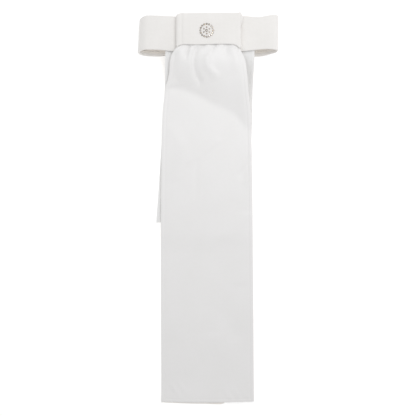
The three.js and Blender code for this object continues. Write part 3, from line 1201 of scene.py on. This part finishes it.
@dataclass
class Knot:
    """The wide knot band across the throat, with what it is lined and held with."""

    # The angles at which each rounded end has a point.
    END_TURNS = np.linspace(-math.pi / 2, math.pi / 2, 33)

    ply_half: float = 0.4 * MM
    lip: float = 0.75 * MM
    turn: float = 6.0 * MM
    step: float = 1.5 * MM
    crown: float = 0.35 * MM
    ear: float = 3.6 * MM
    end_round: dict[int, float] = field(default_factory=lambda: {-1: 3.4 * MM, 1: 1.7 * MM})
    end_power: dict[int, float] = field(default_factory=lambda: {-1: 2.3, 1: 2.8})
    return_gap: float = 0.5 * MM
    pad_inset: float = 2.2 * MM
    tack_pitch: float = 0.62 * MM

    def __post_init__(self) -> None:
        """Reads the knot's places from the frame."""
        self.low, self.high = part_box("knot_front")
        self.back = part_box("knot_back")

    def line(self) -> np.ndarray:
        """The knot's middle line, from its left return round the front to its right return.

        Returns:
            Its points, in X and Z.
        """
        top = self.high.z - self.ply_half - 0.25 * MM
        bottom = self.low.z + self.ply_half
        middle, half = (top + bottom) / 2, (top - bottom) / 2
        turn = self.END_TURNS
        ends = {}
        for side in (-1, 1):
            power = 2 / self.end_power[side]
            reach = self.end_round[side]
            tip = (self.low.x if side < 0 else self.high.x) - side * (self.ply_half + reach)
            x = tip + side * reach * np.abs(np.cos(turn)) ** power
            z = middle + half * np.sign(np.sin(turn)) * np.abs(np.sin(turn)) ** power
            ends[side] = np.stack([x, z], axis=1)
        left_return = np.array([[self.back[0].x - self.return_gap, bottom]])
        right_return = np.array([[self.back[1].x + self.return_gap, bottom]])
        front_x = np.linspace(ends[-1][-1, 0], ends[1][-1, 0], 60)[1:-1]
        front = np.stack([front_x, np.full(len(front_x), top)], axis=1)
        return np.concatenate([left_return, ends[-1], front, ends[1][::-1], right_return])

    def edges(self, x: np.ndarray) -> tuple[np.ndarray, np.ndarray]:
        """Y of the knot's lower and upper edge.

        Args:
            x: Where to read them.

        Returns:
            The lower edge and the upper edge.
        """
        from_left, from_right = x - self.low.x, self.high.x - x
        sag_left = 2.6 * MM * hill(from_left, 5 * MM)
        sag_right = 4.2 * MM * hill(from_right, 4.5 * MM)
        lower = self.low.y + 1.3 * MM - sag_left - sag_right + 0.35 * MM * np.sin(x / (9 * MM))
        shoulder = 1.6 * MM * hill(from_left, 3.5 * MM)
        ear = 1.5 * MM * hill(from_right, 1.8 * MM)
        upper = self.high.y + 0.2 * MM - shoulder + ear + 0.15 * MM * np.sin(x / (13 * MM))
        return lower, upper

    def build(self, sewing: Sewing) -> list[bpy.types.Object]:
        """Makes the knot's cloth, stiffener, back and tacks.

        Args:
            sewing: What sews them.

        Returns:
            The pieces.
        """
        height = self.high.y - self.low.y
        dense = self.line()
        run_dense = run_along(dense)
        length = run_dense[-1]
        line = resample(dense, graded(length, self.step * 0.6, self.ply_half))
        lower, upper = self.edges(line[:, 0])
        front_start = run_dense[len(self.END_TURNS)]
        section = Section.turned(0.0, -2 * self.lip, self.turn, height, self.step)

        def ripple(run: np.ndarray, share: np.ndarray, x: np.ndarray, z: np.ndarray) -> np.ndarray:
            """A crowned front with a pressed line near its left end and soft handling marks.

            Args:
                run: Distance along the line.
                share: Share of the height.
                x: The line's X; not used.
                z: The line's Z; not used.

            Returns:
                The extra depth.
            """
            across = (run - length / 2) / (0.42 * length)
            crowned = self.crown * np.clip(1 - across**4, 0, 1) * np.clip(1 - (2 * share - 1) ** 4, 0, 1)
            front = run - front_start
            pressed = (0.3 * hill(front - 5.2 * MM, 1.6 * MM) - 0.5 * hill(front - 2.5 * MM, 1.2 * MM)) * MM
            marks = 0.16 * MM * np.sin(run / (11 * MM) + 2.2 * share) * np.sin(2.4 * share + 0.6)
            return crowned + pressed + marks

        grid = sweep(line, section, lower, upper, ripple)
        # The turned-in end shows past the top right corner as a small pointed ear.
        share = (grid[..., 1] - self.low.y) / height
        under = ease((self.low.z + 4.2 * MM - grid[..., 2]) / (2.6 * MM))
        near_end = ease((grid[..., 0] - self.high.x + 6 * MM) / (4 * MM))
        flap = ease((share - 0.55) / 0.35) * (1 - 0.75 * ease((share - 0.9) / 0.14))
        grid[..., 0] += self.ear * under * near_end * flap
        cloth = ply("knot_front_cloth", grid, self.ply_half, PIQUE)
        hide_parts("knot_front")
        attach(cloth, "throat")

        pad_z = self.high.z - 2 * self.ply_half - 0.6 * MM
        inset = self.pad_inset
        pad = flat_ply(
            "knot_stiffener",
            Vector((self.low.x + 2 * inset, self.low.y + inset, pad_z - 0.4 * MM)),
            Vector((self.high.x - 1.5 * inset, self.high.y - inset, pad_z)),
            STIFFENER,
        )
        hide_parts("knot_interlining")
        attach(pad, "throat")

        back = flat_ply("knot_back_cloth", self.back[0], self.back[1], LINING)
        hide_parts("knot_back")
        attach(back, "throat")
        return [cloth, pad, back, self.tacks(sewing)]

    def tacks(self, sewing: Sewing) -> bpy.types.Object:
        """Makes the bar tacks that hold the knot to the band, one at each end.

        Args:
            sewing: What sews them.

        Returns:
            The tacks, as one piece.
        """
        place, along, up = [], [], []
        for node in ("knot_tack_left", "knot_tack_right"):
            low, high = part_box(node)
            for i, y in enumerate(np.arange(low.y + 0.3 * MM, high.y, self.tack_pitch)):
                place.append(((low.x + high.x) / 2, y, high.z))
                # Each stitch leans the other way from the last, as a zigzag does.
                along.append((1, 0.18 if i % 2 else -0.18, 0))
                up.append((0, 0, -1))
        tacks = sewing.repeater.make(
            "knot_tacks", sewing.part, np.array(place), np.array(along), np.array(up), THREAD, unevenness=0.05
        )
        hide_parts("knot_tack_left", "knot_tack_right")
        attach(tacks, "throat")
        return tacks


# ---------------------------------------------------------------- tails


@dataclass
class Fold:
    """A soft ridge or valley in a tail: points of Y and X that it runs through, its height and half width."""

    course: list[tuple[float, float]]
    height: float
    width: float

    def rise(self, x: np.ndarray, y: np.ndarray) -> np.ndarray:
        """Its height at each place, fading out past its two ends.

        Args:
            x: X of the places.
            y: Y of the places.

        Returns:
            The heights.
        """
        course = in_metres(self.course)
        low, high = course[0][0], course[-1][0]
        off = x - through(course, np.clip(y, low, high))
        fade = ease((y - low + 9 * MM) / (12 * MM)) * ease((high + 6 * MM - y) / (6 * MM))
        return self.height * MM * hill(off, self.width * MM) * fade


# Half the thickness of a tail, which is the height of its middle surface where it lies flat.
TAIL_HALF = 0.65 * MM


@dataclass
class FrontTail:
    """The long gathered tail: a face and a back ply from inside the knot down to the hem."""

    ply_half: float = 0.25 * MM
    ply_depth: float = 0.4 * MM
    step_across: float = 1.7 * MM
    step_down: float = 2.1 * MM
    swing_play: float = 2.1 * MM
    turn_reach: float = 21 * MM
    hem_curl: float = 1.9 * MM
    hem_reach: float = 16 * MM
    roll_width: float = 1.5 * MM
    # The cut's width and length, laid out flat.
    flat: tuple[float, float] = (0.109, 0.437)
    # The side edges: pairs of Y and X, in mm.
    left_edge: tuple = (
        *((-240, -56), (85, -55.2), (122, -53.8), (135, -52.4), (151, -50), (155, -48.2), (160, -46.8)),
        *((166, -45.4), (176, -44.4), (183, -42), (187, -39), (192.5, -34.5), (212, -31)),
    )
    right_edge: tuple = (
        *((-240, 55), (-92, 54.2), (14, 53.0), (90, 51.9), (122, 50.2), (140, 47.6), (157, 46)),
        *((168, 44.6), (178.5, 42.2), (186, 38.2), (192.5, 34.5), (212, 32)),
    )
    # Where the tail comes down on the rear tail, and its hem: pairs of X and Y, in mm.
    landing: tuple = ((-60, 148), (-45, 146), (-31, 141), (-14, 134), (7, 122), (33, 108), (47, 92), (60, 84))
    hem: tuple = ((-60, -228.0), (-20, -228.7), (20, -228.3), (60, -227.2))
    # How far the back ply hangs below the face's hem, against X, in mm.
    back_hem: tuple = (
        *((-60, 0.3), (-50, 0.7), (-25, 1.2), (0, 1.6), (14, 2.2), (19, 1.4), (24, -2.4), (60, -2.6)),
    )
    folds: tuple = (
        Fold([(178, -33), (186, -34)], 1.1, 4.0),
        Fold([(181, -25), (192, -23)], -2.2, 2.1),
        Fold([(171, -20.5), (190, -18.5)], 1.2, 3.4),
        Fold([(154, -9.5), (163, -14.5), (176, -17), (192, -13.5)], -3.5, 3.8),
        Fold([(160, 8), (166, 1.5), (172, -1.5), (177, -2)], 3.2, 5.2),
        Fold([(178, 1), (184, 4), (191, 11)], 1.3, 3.6),
        Fold([(182, 3), (190, 8)], -1.2, 1.6),
        Fold([(184, 21), (192, 20)], -1.6, 4.0),
        Fold([(168, 32), (176, 33), (187, 30)], 1.3, 5.0),
        Fold([(184, 33.5), (191, 36)], -0.8, 1.6),
    )
    # Soft marks of handling, where the tail lies flat.
    marks: tuple = (
        Fold([(20, -14.5), (60, -14)], -0.3, 3.2),
        Fold([(44, 40), (62, 52)], -1.1, 5.0),
        Fold([(36, 46), (52, 56)], 0.9, 4.0),
        Fold([(60, -21), (84, 10)], 0.7, 6.0),
        Fold([(40, -40), (70, -30), (100, -44)], 0.6, 8.0),
        Fold([(-30, 20), (-5, 45)], 0.7, 10.0),
        Fold([(-150, 35), (-120, 20), (-90, 38)], -0.8, 11.0),
        Fold([(-190, -30), (-150, 5)], 0.8, 12.0),
    )

    def __post_init__(self) -> None:
        """Reads the tail's places from the frame."""
        self.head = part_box("front_tail_gathers")
        self.mouth_z = (self.head[0].z + self.head[1].z) / 2
        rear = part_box("rear_tail_face")
        self.rear_hem = rear[0].y
        self.over_rear = rear[0].z + 0.8 * MM + TAIL_HALF
        self.rear = RearTail()

    def edge(self, points: tuple, y: np.ndarray) -> np.ndarray:
        """X of one side edge at each Y."""
        return through(in_metres(points), y)

    def height(self, x: np.ndarray, y: np.ndarray) -> np.ndarray:
        """Z of the tail's middle surface.

        Args:
            x: X of the places.
            y: Y of the places.

        Returns:
            Z at each.
        """
        start = self.head[0].y - 1 * MM
        land = through(in_metres(self.landing), x)
        t = np.clip((start - y) / (start - land), 0, 1)
        drop = ease(t**1.3)
        over = self.over_rear + 0.55 * MM
        let_down = ease((self.rear_hem - 11 * MM - y) / (28 * MM))
        ground = over + (TAIL_HALF - over) * let_down
        z = self.mouth_z + (ground - self.mouth_z) * drop
        # Gathers: plump just under the knot, pressed flat inside it.
        below = start + 1 * MM - y
        out = ease(below / (6 * MM)) * ease((y - 122 * MM) / (30 * MM))
        share = (x - self.head[0].x) / (self.head[1].x - self.head[0].x)
        inside = 0.65 * MM * np.sin(share * 2 * math.pi * 4.5) * (1 - ease(below / (6 * MM)))
        puff = 1.3 * MM * hill(y - 175 * MM, 11 * MM) * (1 - 0.5 * hill(np.abs(x) - 40 * MM, 9 * MM))
        folds = sum(fold.rise(x, y) for fold in self.folds)
        left, right = self.edge(self.left_edge, y), self.edge(self.right_edge, y)
        # The two sides roll down towards the rear tail.
        roll = 6.0 * MM * hill(x - left, 7 * MM) + 2.2 * MM * hill(right - x, 5 * MM)
        rolled = roll * ease((below - 6 * MM) / (9 * MM)) * (1 - drop)
        crease = -0.9 * MM * hill(y - land - 4 * MM, 7 * MM)
        shaped = z + inside + (puff + folds) * out - rolled + crease
        # It can sink no lower than the rear tail or the surface under it.
        slope = self.rear.height(x, y) - TAIL_HALF
        play = (0.8 * MM + self.swing_play * ease((-x - 20 * MM) / (22 * MM))) * ease(slope / (1.5 * MM))
        # It lies a little closer along its left edge.
        play = play * (1 - 0.22 * hill(x - left, 4 * MM))
        least = ground + (slope + play) * (1 - let_down)
        soft = 0.5 * MM
        return least + soft * np.logaddexp(0, (shaped - least) / soft)

    def ripple(self, x: np.ndarray, y: np.ndarray) -> np.ndarray:
        """Waves of cloth that lies loose, with soft marks and puckers at the hem.

        Args:
            x: X of the places.
            y: Y of the places.

        Returns:
            The extra height at each.
        """
        slow = np.sin(x / (29 * MM) + y / (41 * MM)) + 0.7 * np.sin(y / (19 * MM) - x / (33 * MM) + 1.3)
        broad = np.sin(y / (34 * MM) + 0.8 * np.sin(x / (40 * MM)))
        lying = ease((140 * MM - y) / (60 * MM))
        marks = sum(mark.rise(x, y) for mark in self.marks)
        puckers = 0.0
        for middle_x, middle_y, wide in ((-37 * MM, -212 * MM, 11 * MM), (32 * MM, -219 * MM, 14 * MM)):
            near = hill(x - middle_x, wide) * hill(y - middle_y, 8 * MM)
            puckers = puckers + 0.45 * MM * near * (1 + np.sin((x + 0.7 * (y - middle_y)) / (1.7 * MM)))
        gathers = 1 + np.sin(x / (2.2 * MM) + 2 * np.sin(x / (15 * MM)))
        fine = 0.12 * MM * gathers * hill(y + 222 * MM, 4 * MM)
        return lying * ((0.25 * slow + 0.35 * broad + 0.6) * MM + marks) + puckers + fine

    def grid(self, depth: float, extra: float) -> np.ndarray:
        """One ply, as a grid of points.

        Args:
            depth: How far its middle lies from the tail's, upwards.
            extra: 1 where it hangs below the hem as the back ply does, otherwise 0.

        Returns:
            The grid, from the left edge to the right and from the top down.
        """
        top = self.head[1].y - 2 * MM
        u, v = seamed_grid(108 * MM, 440 * MM, (self.step_across, self.step_down), (0.0026, 0.0006))
        bottom_x = (u - 0.5) * 111 * MM
        bottom = through(in_metres(self.hem), bottom_x)
        bottom = bottom - extra * through(in_metres(self.back_hem), bottom_x)
        y = top + (bottom - top) * v
        left, right = self.edge(self.left_edge, y), self.edge(self.right_edge, y)
        x = left + (right - left) * u
        middle = np.stack([x, y, self.height(x, y) + self.ripple(x, y)], axis=2)
        normal = grid_normals(middle)
        normal *= np.sign(normal[..., 2:])
        near = np.minimum(np.minimum(x - left, right - x), y - bottom)
        # The face curls up a little at the hem, off the back ply.
        curl = self.hem_curl * (1 - extra) * (0.85 + 0.15 * hill(x + 20 * MM, 45 * MM))
        # Its very edge is turned, and rolls down again in its own shade.
        rolled = ease((self.roll_width - (y - bottom)) / self.roll_width)
        middle[..., 2] += curl * (hill(y - bottom, self.hem_reach) - rolled)
        return middle + normal * (depth * seam_swell(near))[..., None]

    def build(self) -> list[bpy.types.Object]:
        """Makes the face and the back.

        Returns:
            The pieces.
        """
        made = []
        for word, depth, extra, finish, slot in (
            ("face", self.ply_depth, 0.0, SATEEN, "tail_cloth"),
            ("back", -self.ply_depth, 1.0, LINING, "tail_lining"),
        ):
            grid = self.grid(depth, extra)
            piece = ply(f"front_tail_{word}_cloth", grid, self.ply_half, finish)
            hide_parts(f"front_tail_{word}", "front_tail_gathers")
            self.bend(piece)
            made.append(piece)
        return made

    def bend(self, piece: bpy.types.Object) -> None:
        """Bakes a piece's placement into its mesh."""
        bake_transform(piece)


@dataclass
class RearTail:
    """The shorter tail, sewn to the back of the throat band, that leans out at the left."""

    ply_half: float = 0.25 * MM
    ply_depth: float = 0.4 * MM
    step: float = 2.0 * MM
    fall: float = 40 * MM
    seam_share: float = 0.35
    lean: float = math.radians(2.37)
    length: float = 212.4 * MM
    hem_width: float = 111.5 * MM
    # The cut's width and length, laid out flat.
    flat: tuple[float, float] = (0.108, 0.213)

    def __post_init__(self) -> None:
        """Reads the tail's places from the frame."""
        self.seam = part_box("rear_tail_seam")
        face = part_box("rear_tail_face")
        self.top_y = face[1].y
        self.top_z = face[1].z - TAIL_HALF
        self.nape_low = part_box("left_nape_band_face")[0].y

    def height(self, x: np.ndarray, y: np.ndarray) -> np.ndarray:
        """Z of the tail's middle surface.

        Args:
            x: X of the places.
            y: Y of the places.

        Returns:
            Z at each.
        """
        t = (self.nape_low - y) / self.fall
        sewn = ease((y - self.top_y + 6 * MM) / (8 * MM))
        lifted = self.top_z + (self.seam[0].z + 0.2 * MM - self.top_z) * sewn
        sides = 0.7 * MM * (hill(x - self.seam[1].x, 7 * MM) + hill(x - self.seam[0].x, 7 * MM))
        return lifted + (TAIL_HALF - lifted) * ease(t) + sides * ease(t * 3) * ease((1.4 - t) * 2)

    def grid(self, depth: float) -> np.ndarray:
        """One ply, as a grid of points.

        Args:
            depth: How far its middle lies from the tail's, upwards.

        Returns:
            The grid, from the left edge to the right and from the top down.
        """
        u, v = seamed_grid(106 * MM, 212 * MM, (self.step, self.step), (0.0026, 0.0012))
        top = self.seam[1].y - 1 * MM
        width = (self.seam[1].x - self.seam[0].x) * (1 - v) + self.hem_width * v
        centre = (self.seam[0].x + self.seam[1].x) / 2
        place = (u - 0.5) * width
        turn = self.lean * ease(v * 6)
        x = centre + place * np.cos(turn) - self.length * v * np.sin(self.lean * v**0.3)
        y = top - self.length * v * np.cos(self.lean) + place * np.sin(turn)
        wave = 0.12 * MM * np.sin(x / (19 * MM) - y / (33 * MM)) * ease((140 * MM - y) / (40 * MM))
        middle = np.stack([x, y, self.height(x, y) + wave * 0.5], axis=2)
        normal = grid_normals(middle)
        normal *= np.sign(normal[..., 2:])
        near = np.minimum(np.minimum(u, 1 - u) * width, (1 - v) * self.length)
        swell = 1 + self.seam_share * (seam_swell(near) - 1)
        return middle + normal * (depth * swell)[..., None]

    def build(self, sewing: Sewing) -> list[bpy.types.Object]:
        """Makes the face, the back and the seam stitches.

        Args:
            sewing: What sews them.

        Returns:
            The pieces.
        """
        made = []
        for word, depth, finish, slot in (
            ("face", self.ply_depth, PIQUE_TAIL, "tail_cloth"),
            ("back", -self.ply_depth, LINING, "tail_lining"),
        ):
            piece = ply(f"rear_tail_{word}_cloth", self.grid(depth), self.ply_half, finish)
            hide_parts(f"rear_tail_{word}", "rear_tail_seam")
            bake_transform(piece)
            made.append(piece)
        rows = []
        for y in (self.seam[1].y - 4 * MM, self.seam[0].y + 4.5 * MM):
            x = np.linspace(self.seam[0].x + 3 * MM, self.seam[1].x - 3 * MM, 60)
            z = self.height(x, y + 0 * x) - self.ply_depth - self.ply_half
            rows.append((np.stack([x, y + 0 * x, z], axis=1), facing(-1.0, len(x))))
        stitches = sewing.line("rear_tail_seam_stitches", rows)
        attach(stitches, "throat")
        made.append(stitches)
        return made


# ---------------------------------------------------------------- fastening


@dataclass
class Fastening:
    """The hook tape and loop tape at the nape, and the blank label."""

    hook_pitch: float = 1.5 * MM
    hook_height: float = 0.55 * MM
    ground: float = 0.4 * MM
    # How far the pile and the stitches keep from the edge of a tape or the label.
    pile_inset: float = 1.6 * MM
    tape_stitch_inset: float = 0.9 * MM
    label_stitch_inset: float = 1.1 * MM

    def hook(self) -> bpy.types.Object:
        """One moulded hook, a stem that bends over.

        Returns:
            The hook, hidden.
        """
        h = self.hook_height
        line = h * np.array([[0, -0.1], [0, 0.55], [0.18, 0.92], [0.5, 0.95], [0.66, 0.66]])
        return rod_part("hook", line, [0.13 * MM, 0.11 * MM, 0.1 * MM, 0.09 * MM, 0.06 * MM], 5)

    def loop(self) -> bpy.types.Object:
        """One brushed loop of fine filament.

        Returns:
            The loop, hidden.
        """
        t = np.linspace(-0.3, math.pi + 0.3, 7)
        line = np.stack([0.5 * MM * np.cos(t[::-1]), 0.5 * MM * np.sin(t[::-1])], axis=1)
        return rod_part("loop", line, [0.06 * MM] * len(t), 4)

    def build(self, sewing: Sewing) -> list[bpy.types.Object]:
        """Makes both tapes with their hooks and loops, and the label with its stitches.

        Args:
            sewing: What sews them.

        Returns:
            The pieces.
        """
        repeater = Repeater("tape_pile")
        made = []
        for word, body, up in (("hook", "left_nape", 1.0), ("loop", "right_nape", -1.0)):
            low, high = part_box(f"{word}_tape")
            base_low, base_high = low.copy(), high.copy()
            if up > 0:
                base_high.z = low.z + self.ground
            else:
                base_low.z = high.z - self.ground
            tape = flat_ply(f"{word}_tape_ground", base_low, base_high, TAPE_GROUND, 1.5 * MM)
            surface = base_high.z if up > 0 else base_low.z
            edge = self.pile_inset
            x = np.arange(low.x + edge, high.x - edge, self.hook_pitch)
            y = np.arange(low.y + edge, high.y - edge, self.hook_pitch)
            gx, gy = (a.ravel() for a in np.meshgrid(x, y, indexing="ij"))
            if word == "hook":
                along = np.stack([np.where(np.arange(len(gx)) % 2, 1.0, -1.0), 0 * gx, 0 * gx], axis=1)
            else:
                # Brushed loops stand in no order and face every way.
                dice = np.random.default_rng(11)
                angle = dice.uniform(0, 2 * math.pi, len(gx))
                gx = gx + dice.uniform(-0.5, 0.5, len(gx)) * self.hook_pitch
                gy = gy + dice.uniform(-0.5, 0.5, len(gy)) * self.hook_pitch
                along = np.stack([np.cos(angle), np.sin(angle), 0 * gx], axis=1)
            points = np.stack([gx, gy, np.full(len(gx), surface)], axis=1)
            part = self.hook() if word == "hook" else self.loop()
            finish = HOOK_NYLON if word == "hook" else LOOP_NYLON
            normals = facing(up, len(gx))
            pile = repeater.make(f"{word}_tape_pile", part, points, along, normals, finish, unevenness=0.12)
            ring = self.ring(base_low, base_high, self.tape_stitch_inset, surface + up * 0.05 * MM, up)
            stitches = sewing.line(f"{word}_tape_stitches", [ring])
            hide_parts(f"{word}_tape")
            for piece, slot in ((tape, f"{word}_tape"), (pile, f"{word}_tape"), (stitches, "thread")):
                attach(piece, body)
                made.append(piece)
        made += self.label(sewing)
        return made

    def ring(
        self, low: Vector, high: Vector, inset: float, z: float, up: float
    ) -> tuple[np.ndarray, np.ndarray]:
        """A line of stitches just inside the edge of a tape or label.

        Args:
            low: Its lowest corner.
            high: Its highest corner.
            inset: How far inside the line runs.
            z: The line's height.
            up: 1.0 where the cloth faces up, -1.0 where it faces down.

        Returns:
            The line's points, and the cloth's normal at each.
        """
        a, b, c, d = low.x + inset, high.x - inset, low.y + inset, high.y - inset
        points = np.array([[a, c, z], [b, c, z], [b, d, z], [a, d, z], [a, c, z]])
        return points, facing(up, len(points))

    def label(self, sewing: Sewing) -> list[bpy.types.Object]:
        """Makes the blank satin label.

        Args:
            sewing: What sews it down.

        Returns:
            The label and its stitches.
        """
        low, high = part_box("care_label")
        label = flat_ply("care_label_satin", low, high, LABEL_SATIN, 1.2 * MM)
        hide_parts("care_label")
        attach(label, "left_nape")
        ring = self.ring(low, high, self.label_stitch_inset, high.z, 1.0)
        stitches = sewing.line("care_label_stitches", [ring])
        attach(stitches, "left_nape")
        return [label, stitches]


# ---------------------------------------------------------------- rosette


@dataclass
class Rosette:
    """The ring of flat-backed stones on the knot."""

    sides: int = 8
    # Each row of corners, from the back up: its radius, height and turn, as a share of one side.
    rows: tuple = ((1.0, 0.0, 0.0), (1.0, 0.16, 0.0), (0.8, 0.5, 0.5), (0.5, 0.76, 0.0))

    def stone(self) -> bpy.types.Object:
        """One stone of unit girdle radius: a girdle, two rows of crown facets and a table.

        Returns:
            The stone, hidden.
        """
        points, faces = [], []
        n = self.sides
        for radius, z, turn in self.rows:
            angle = 2 * math.pi * (np.arange(n) + turn) / n
            points.append(np.stack([radius * np.cos(angle), radius * np.sin(angle), np.full(n, z)], axis=1))
        for j in range(n):
            k = (j + 1) % n
            faces += [[j, k, n + k, n + j]]
            faces += [[n + j, n + k, 2 * n + j], [n + k, 2 * n + k, 2 * n + j]]
            faces += [[2 * n + j, 2 * n + k, 3 * n + k], [2 * n + j, 3 * n + k, 3 * n + j]]
        faces += [list(range(n))[::-1], [3 * n + j for j in range(n)]]
        return hidden_part("stone", np.concatenate(points), faces)

    def build(self) -> list[bpy.types.Object]:
        """Sets a stone where each CAD crystal is.

        Returns:
            All the stones, as one piece.
        """
        names = sorted(n for n in bpy.data.objects.keys() if n.startswith("crystal_"))
        boxes = [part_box(name) for name in names]
        centre = [(low + high) / 2 for low, high in boxes]
        middle = sum(centre, Vector()) / len(centre)
        points = np.array([(c.x, c.y, low.z - 0.05 * MM) for c, (low, high) in zip(centre, boxes)])
        scale = np.array([(high.z - low.z) / self.rows[-1][1] for low, high in boxes])
        outward = points - np.array(middle)
        outward[:, 2] = 0
        outward[np.linalg.norm(outward, axis=1) < 1e-5] = (1, 0, 0)
        up = facing(1.0, len(points))
        stones = Repeater("stone_setting").make(
            "knot_rosette", self.stone(), points, outward, up, CRYSTAL_WITH_PAINTED_GLINTS, scale=scale, smooth=False
        )
        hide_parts(*names)
        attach(stones, "throat")
        return [stones]


# ---------------------------------------------------------------- studio


@dataclass
class Set:
    """The floor, the key light, the room's own light and the camera."""

    camera_height: float = 0.750
    camera_y: float = 0.0042
    lens: float = 54.1
    floor_half: float = 4.0
    # The floor lies this far under the stock, so that the two don't share a plane.
    floor_drop: float = 0.1 * MM
    key_place: tuple[float, float, float] = (0.155, 0.28, 0.57)
    key_aim: tuple[float, float, float] = (-0.02, 0.28, 0.0)
    key_size: float = 0.36
    key_strength: float = 0.98
    fill_strength: float = 0.67

    def build(self) -> None:
        """Makes them all."""
        camera = bpy.data.cameras.new("camera")
        camera.lens = self.lens
        camera.sensor_width = 36
        holder = bpy.data.objects.new("camera", camera)
        holder.location = (0, self.camera_y, self.camera_height)
        bpy.context.scene.collection.objects.link(holder)
        bpy.context.scene.camera = holder

        square = self.floor_half * np.array([(-1, -1, 0), (1, -1, 0), (1, 1, 0), (-1, 1, 0)], float)
        floor = mesh_piece("floor", square - (0, 0, self.floor_drop), [[0, 1, 2, 3]])
        floor.data.materials.append(PALETTE.of(Studio()))

        key = bpy.data.lights.new("key", "AREA")
        key.shape = "DISK"
        key.size = self.key_size
        key.energy = self.key_strength
        lamp = bpy.data.objects.new("key", key)
        lamp.location = self.key_place
        aim = Vector(self.key_place) - Vector(self.key_aim)
        lamp.rotation_euler = aim.to_track_quat("Z", "Y").to_euler()
        bpy.context.scene.collection.objects.link(lamp)

        world = bpy.data.worlds.new("room")
        world.use_nodes = True
        back = world.node_tree.nodes["Background"]
        back.inputs["Color"].default_value = (1, 1, 1, 1)
        back.inputs["Strength"].default_value = self.fill_strength
        bpy.context.scene.world = world
        bpy.context.scene.view_settings.view_transform = "Standard"


def report(part: str, pieces: Sequence[bpy.types.Object]) -> None:
    """Logs what was made of a sub-assembly.

    Args:
        part: Its name.
        pieces: Its pieces.
    """
    for piece in pieces:
        LOG.info("%s: %s, %d faces", part, piece.name, len(piece.data.polygons))


def corners(box: tuple[Vector, Vector]) -> list[list[float]]:
    """A box as plain lists of numbers."""
    return [[float(v) for v in corner] for corner in box]


def main() -> None:
    """Builds the stock round the frame and its studio."""
    logging.basicConfig(level=logging.INFO, format="%(message)s")
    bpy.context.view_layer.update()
    Set().build()
    sewing = Sewing()
    report("neck band", NeckBand().build(sewing))
    report("rear tail", RearTail().build(sewing))
    report("front tail", FrontTail().build())
    report("knot", Knot().build(sewing))
    report("fastening", Fastening().build(sewing))
    report("rosette", Rosette().build())


if __name__ == "__main__":
    main()
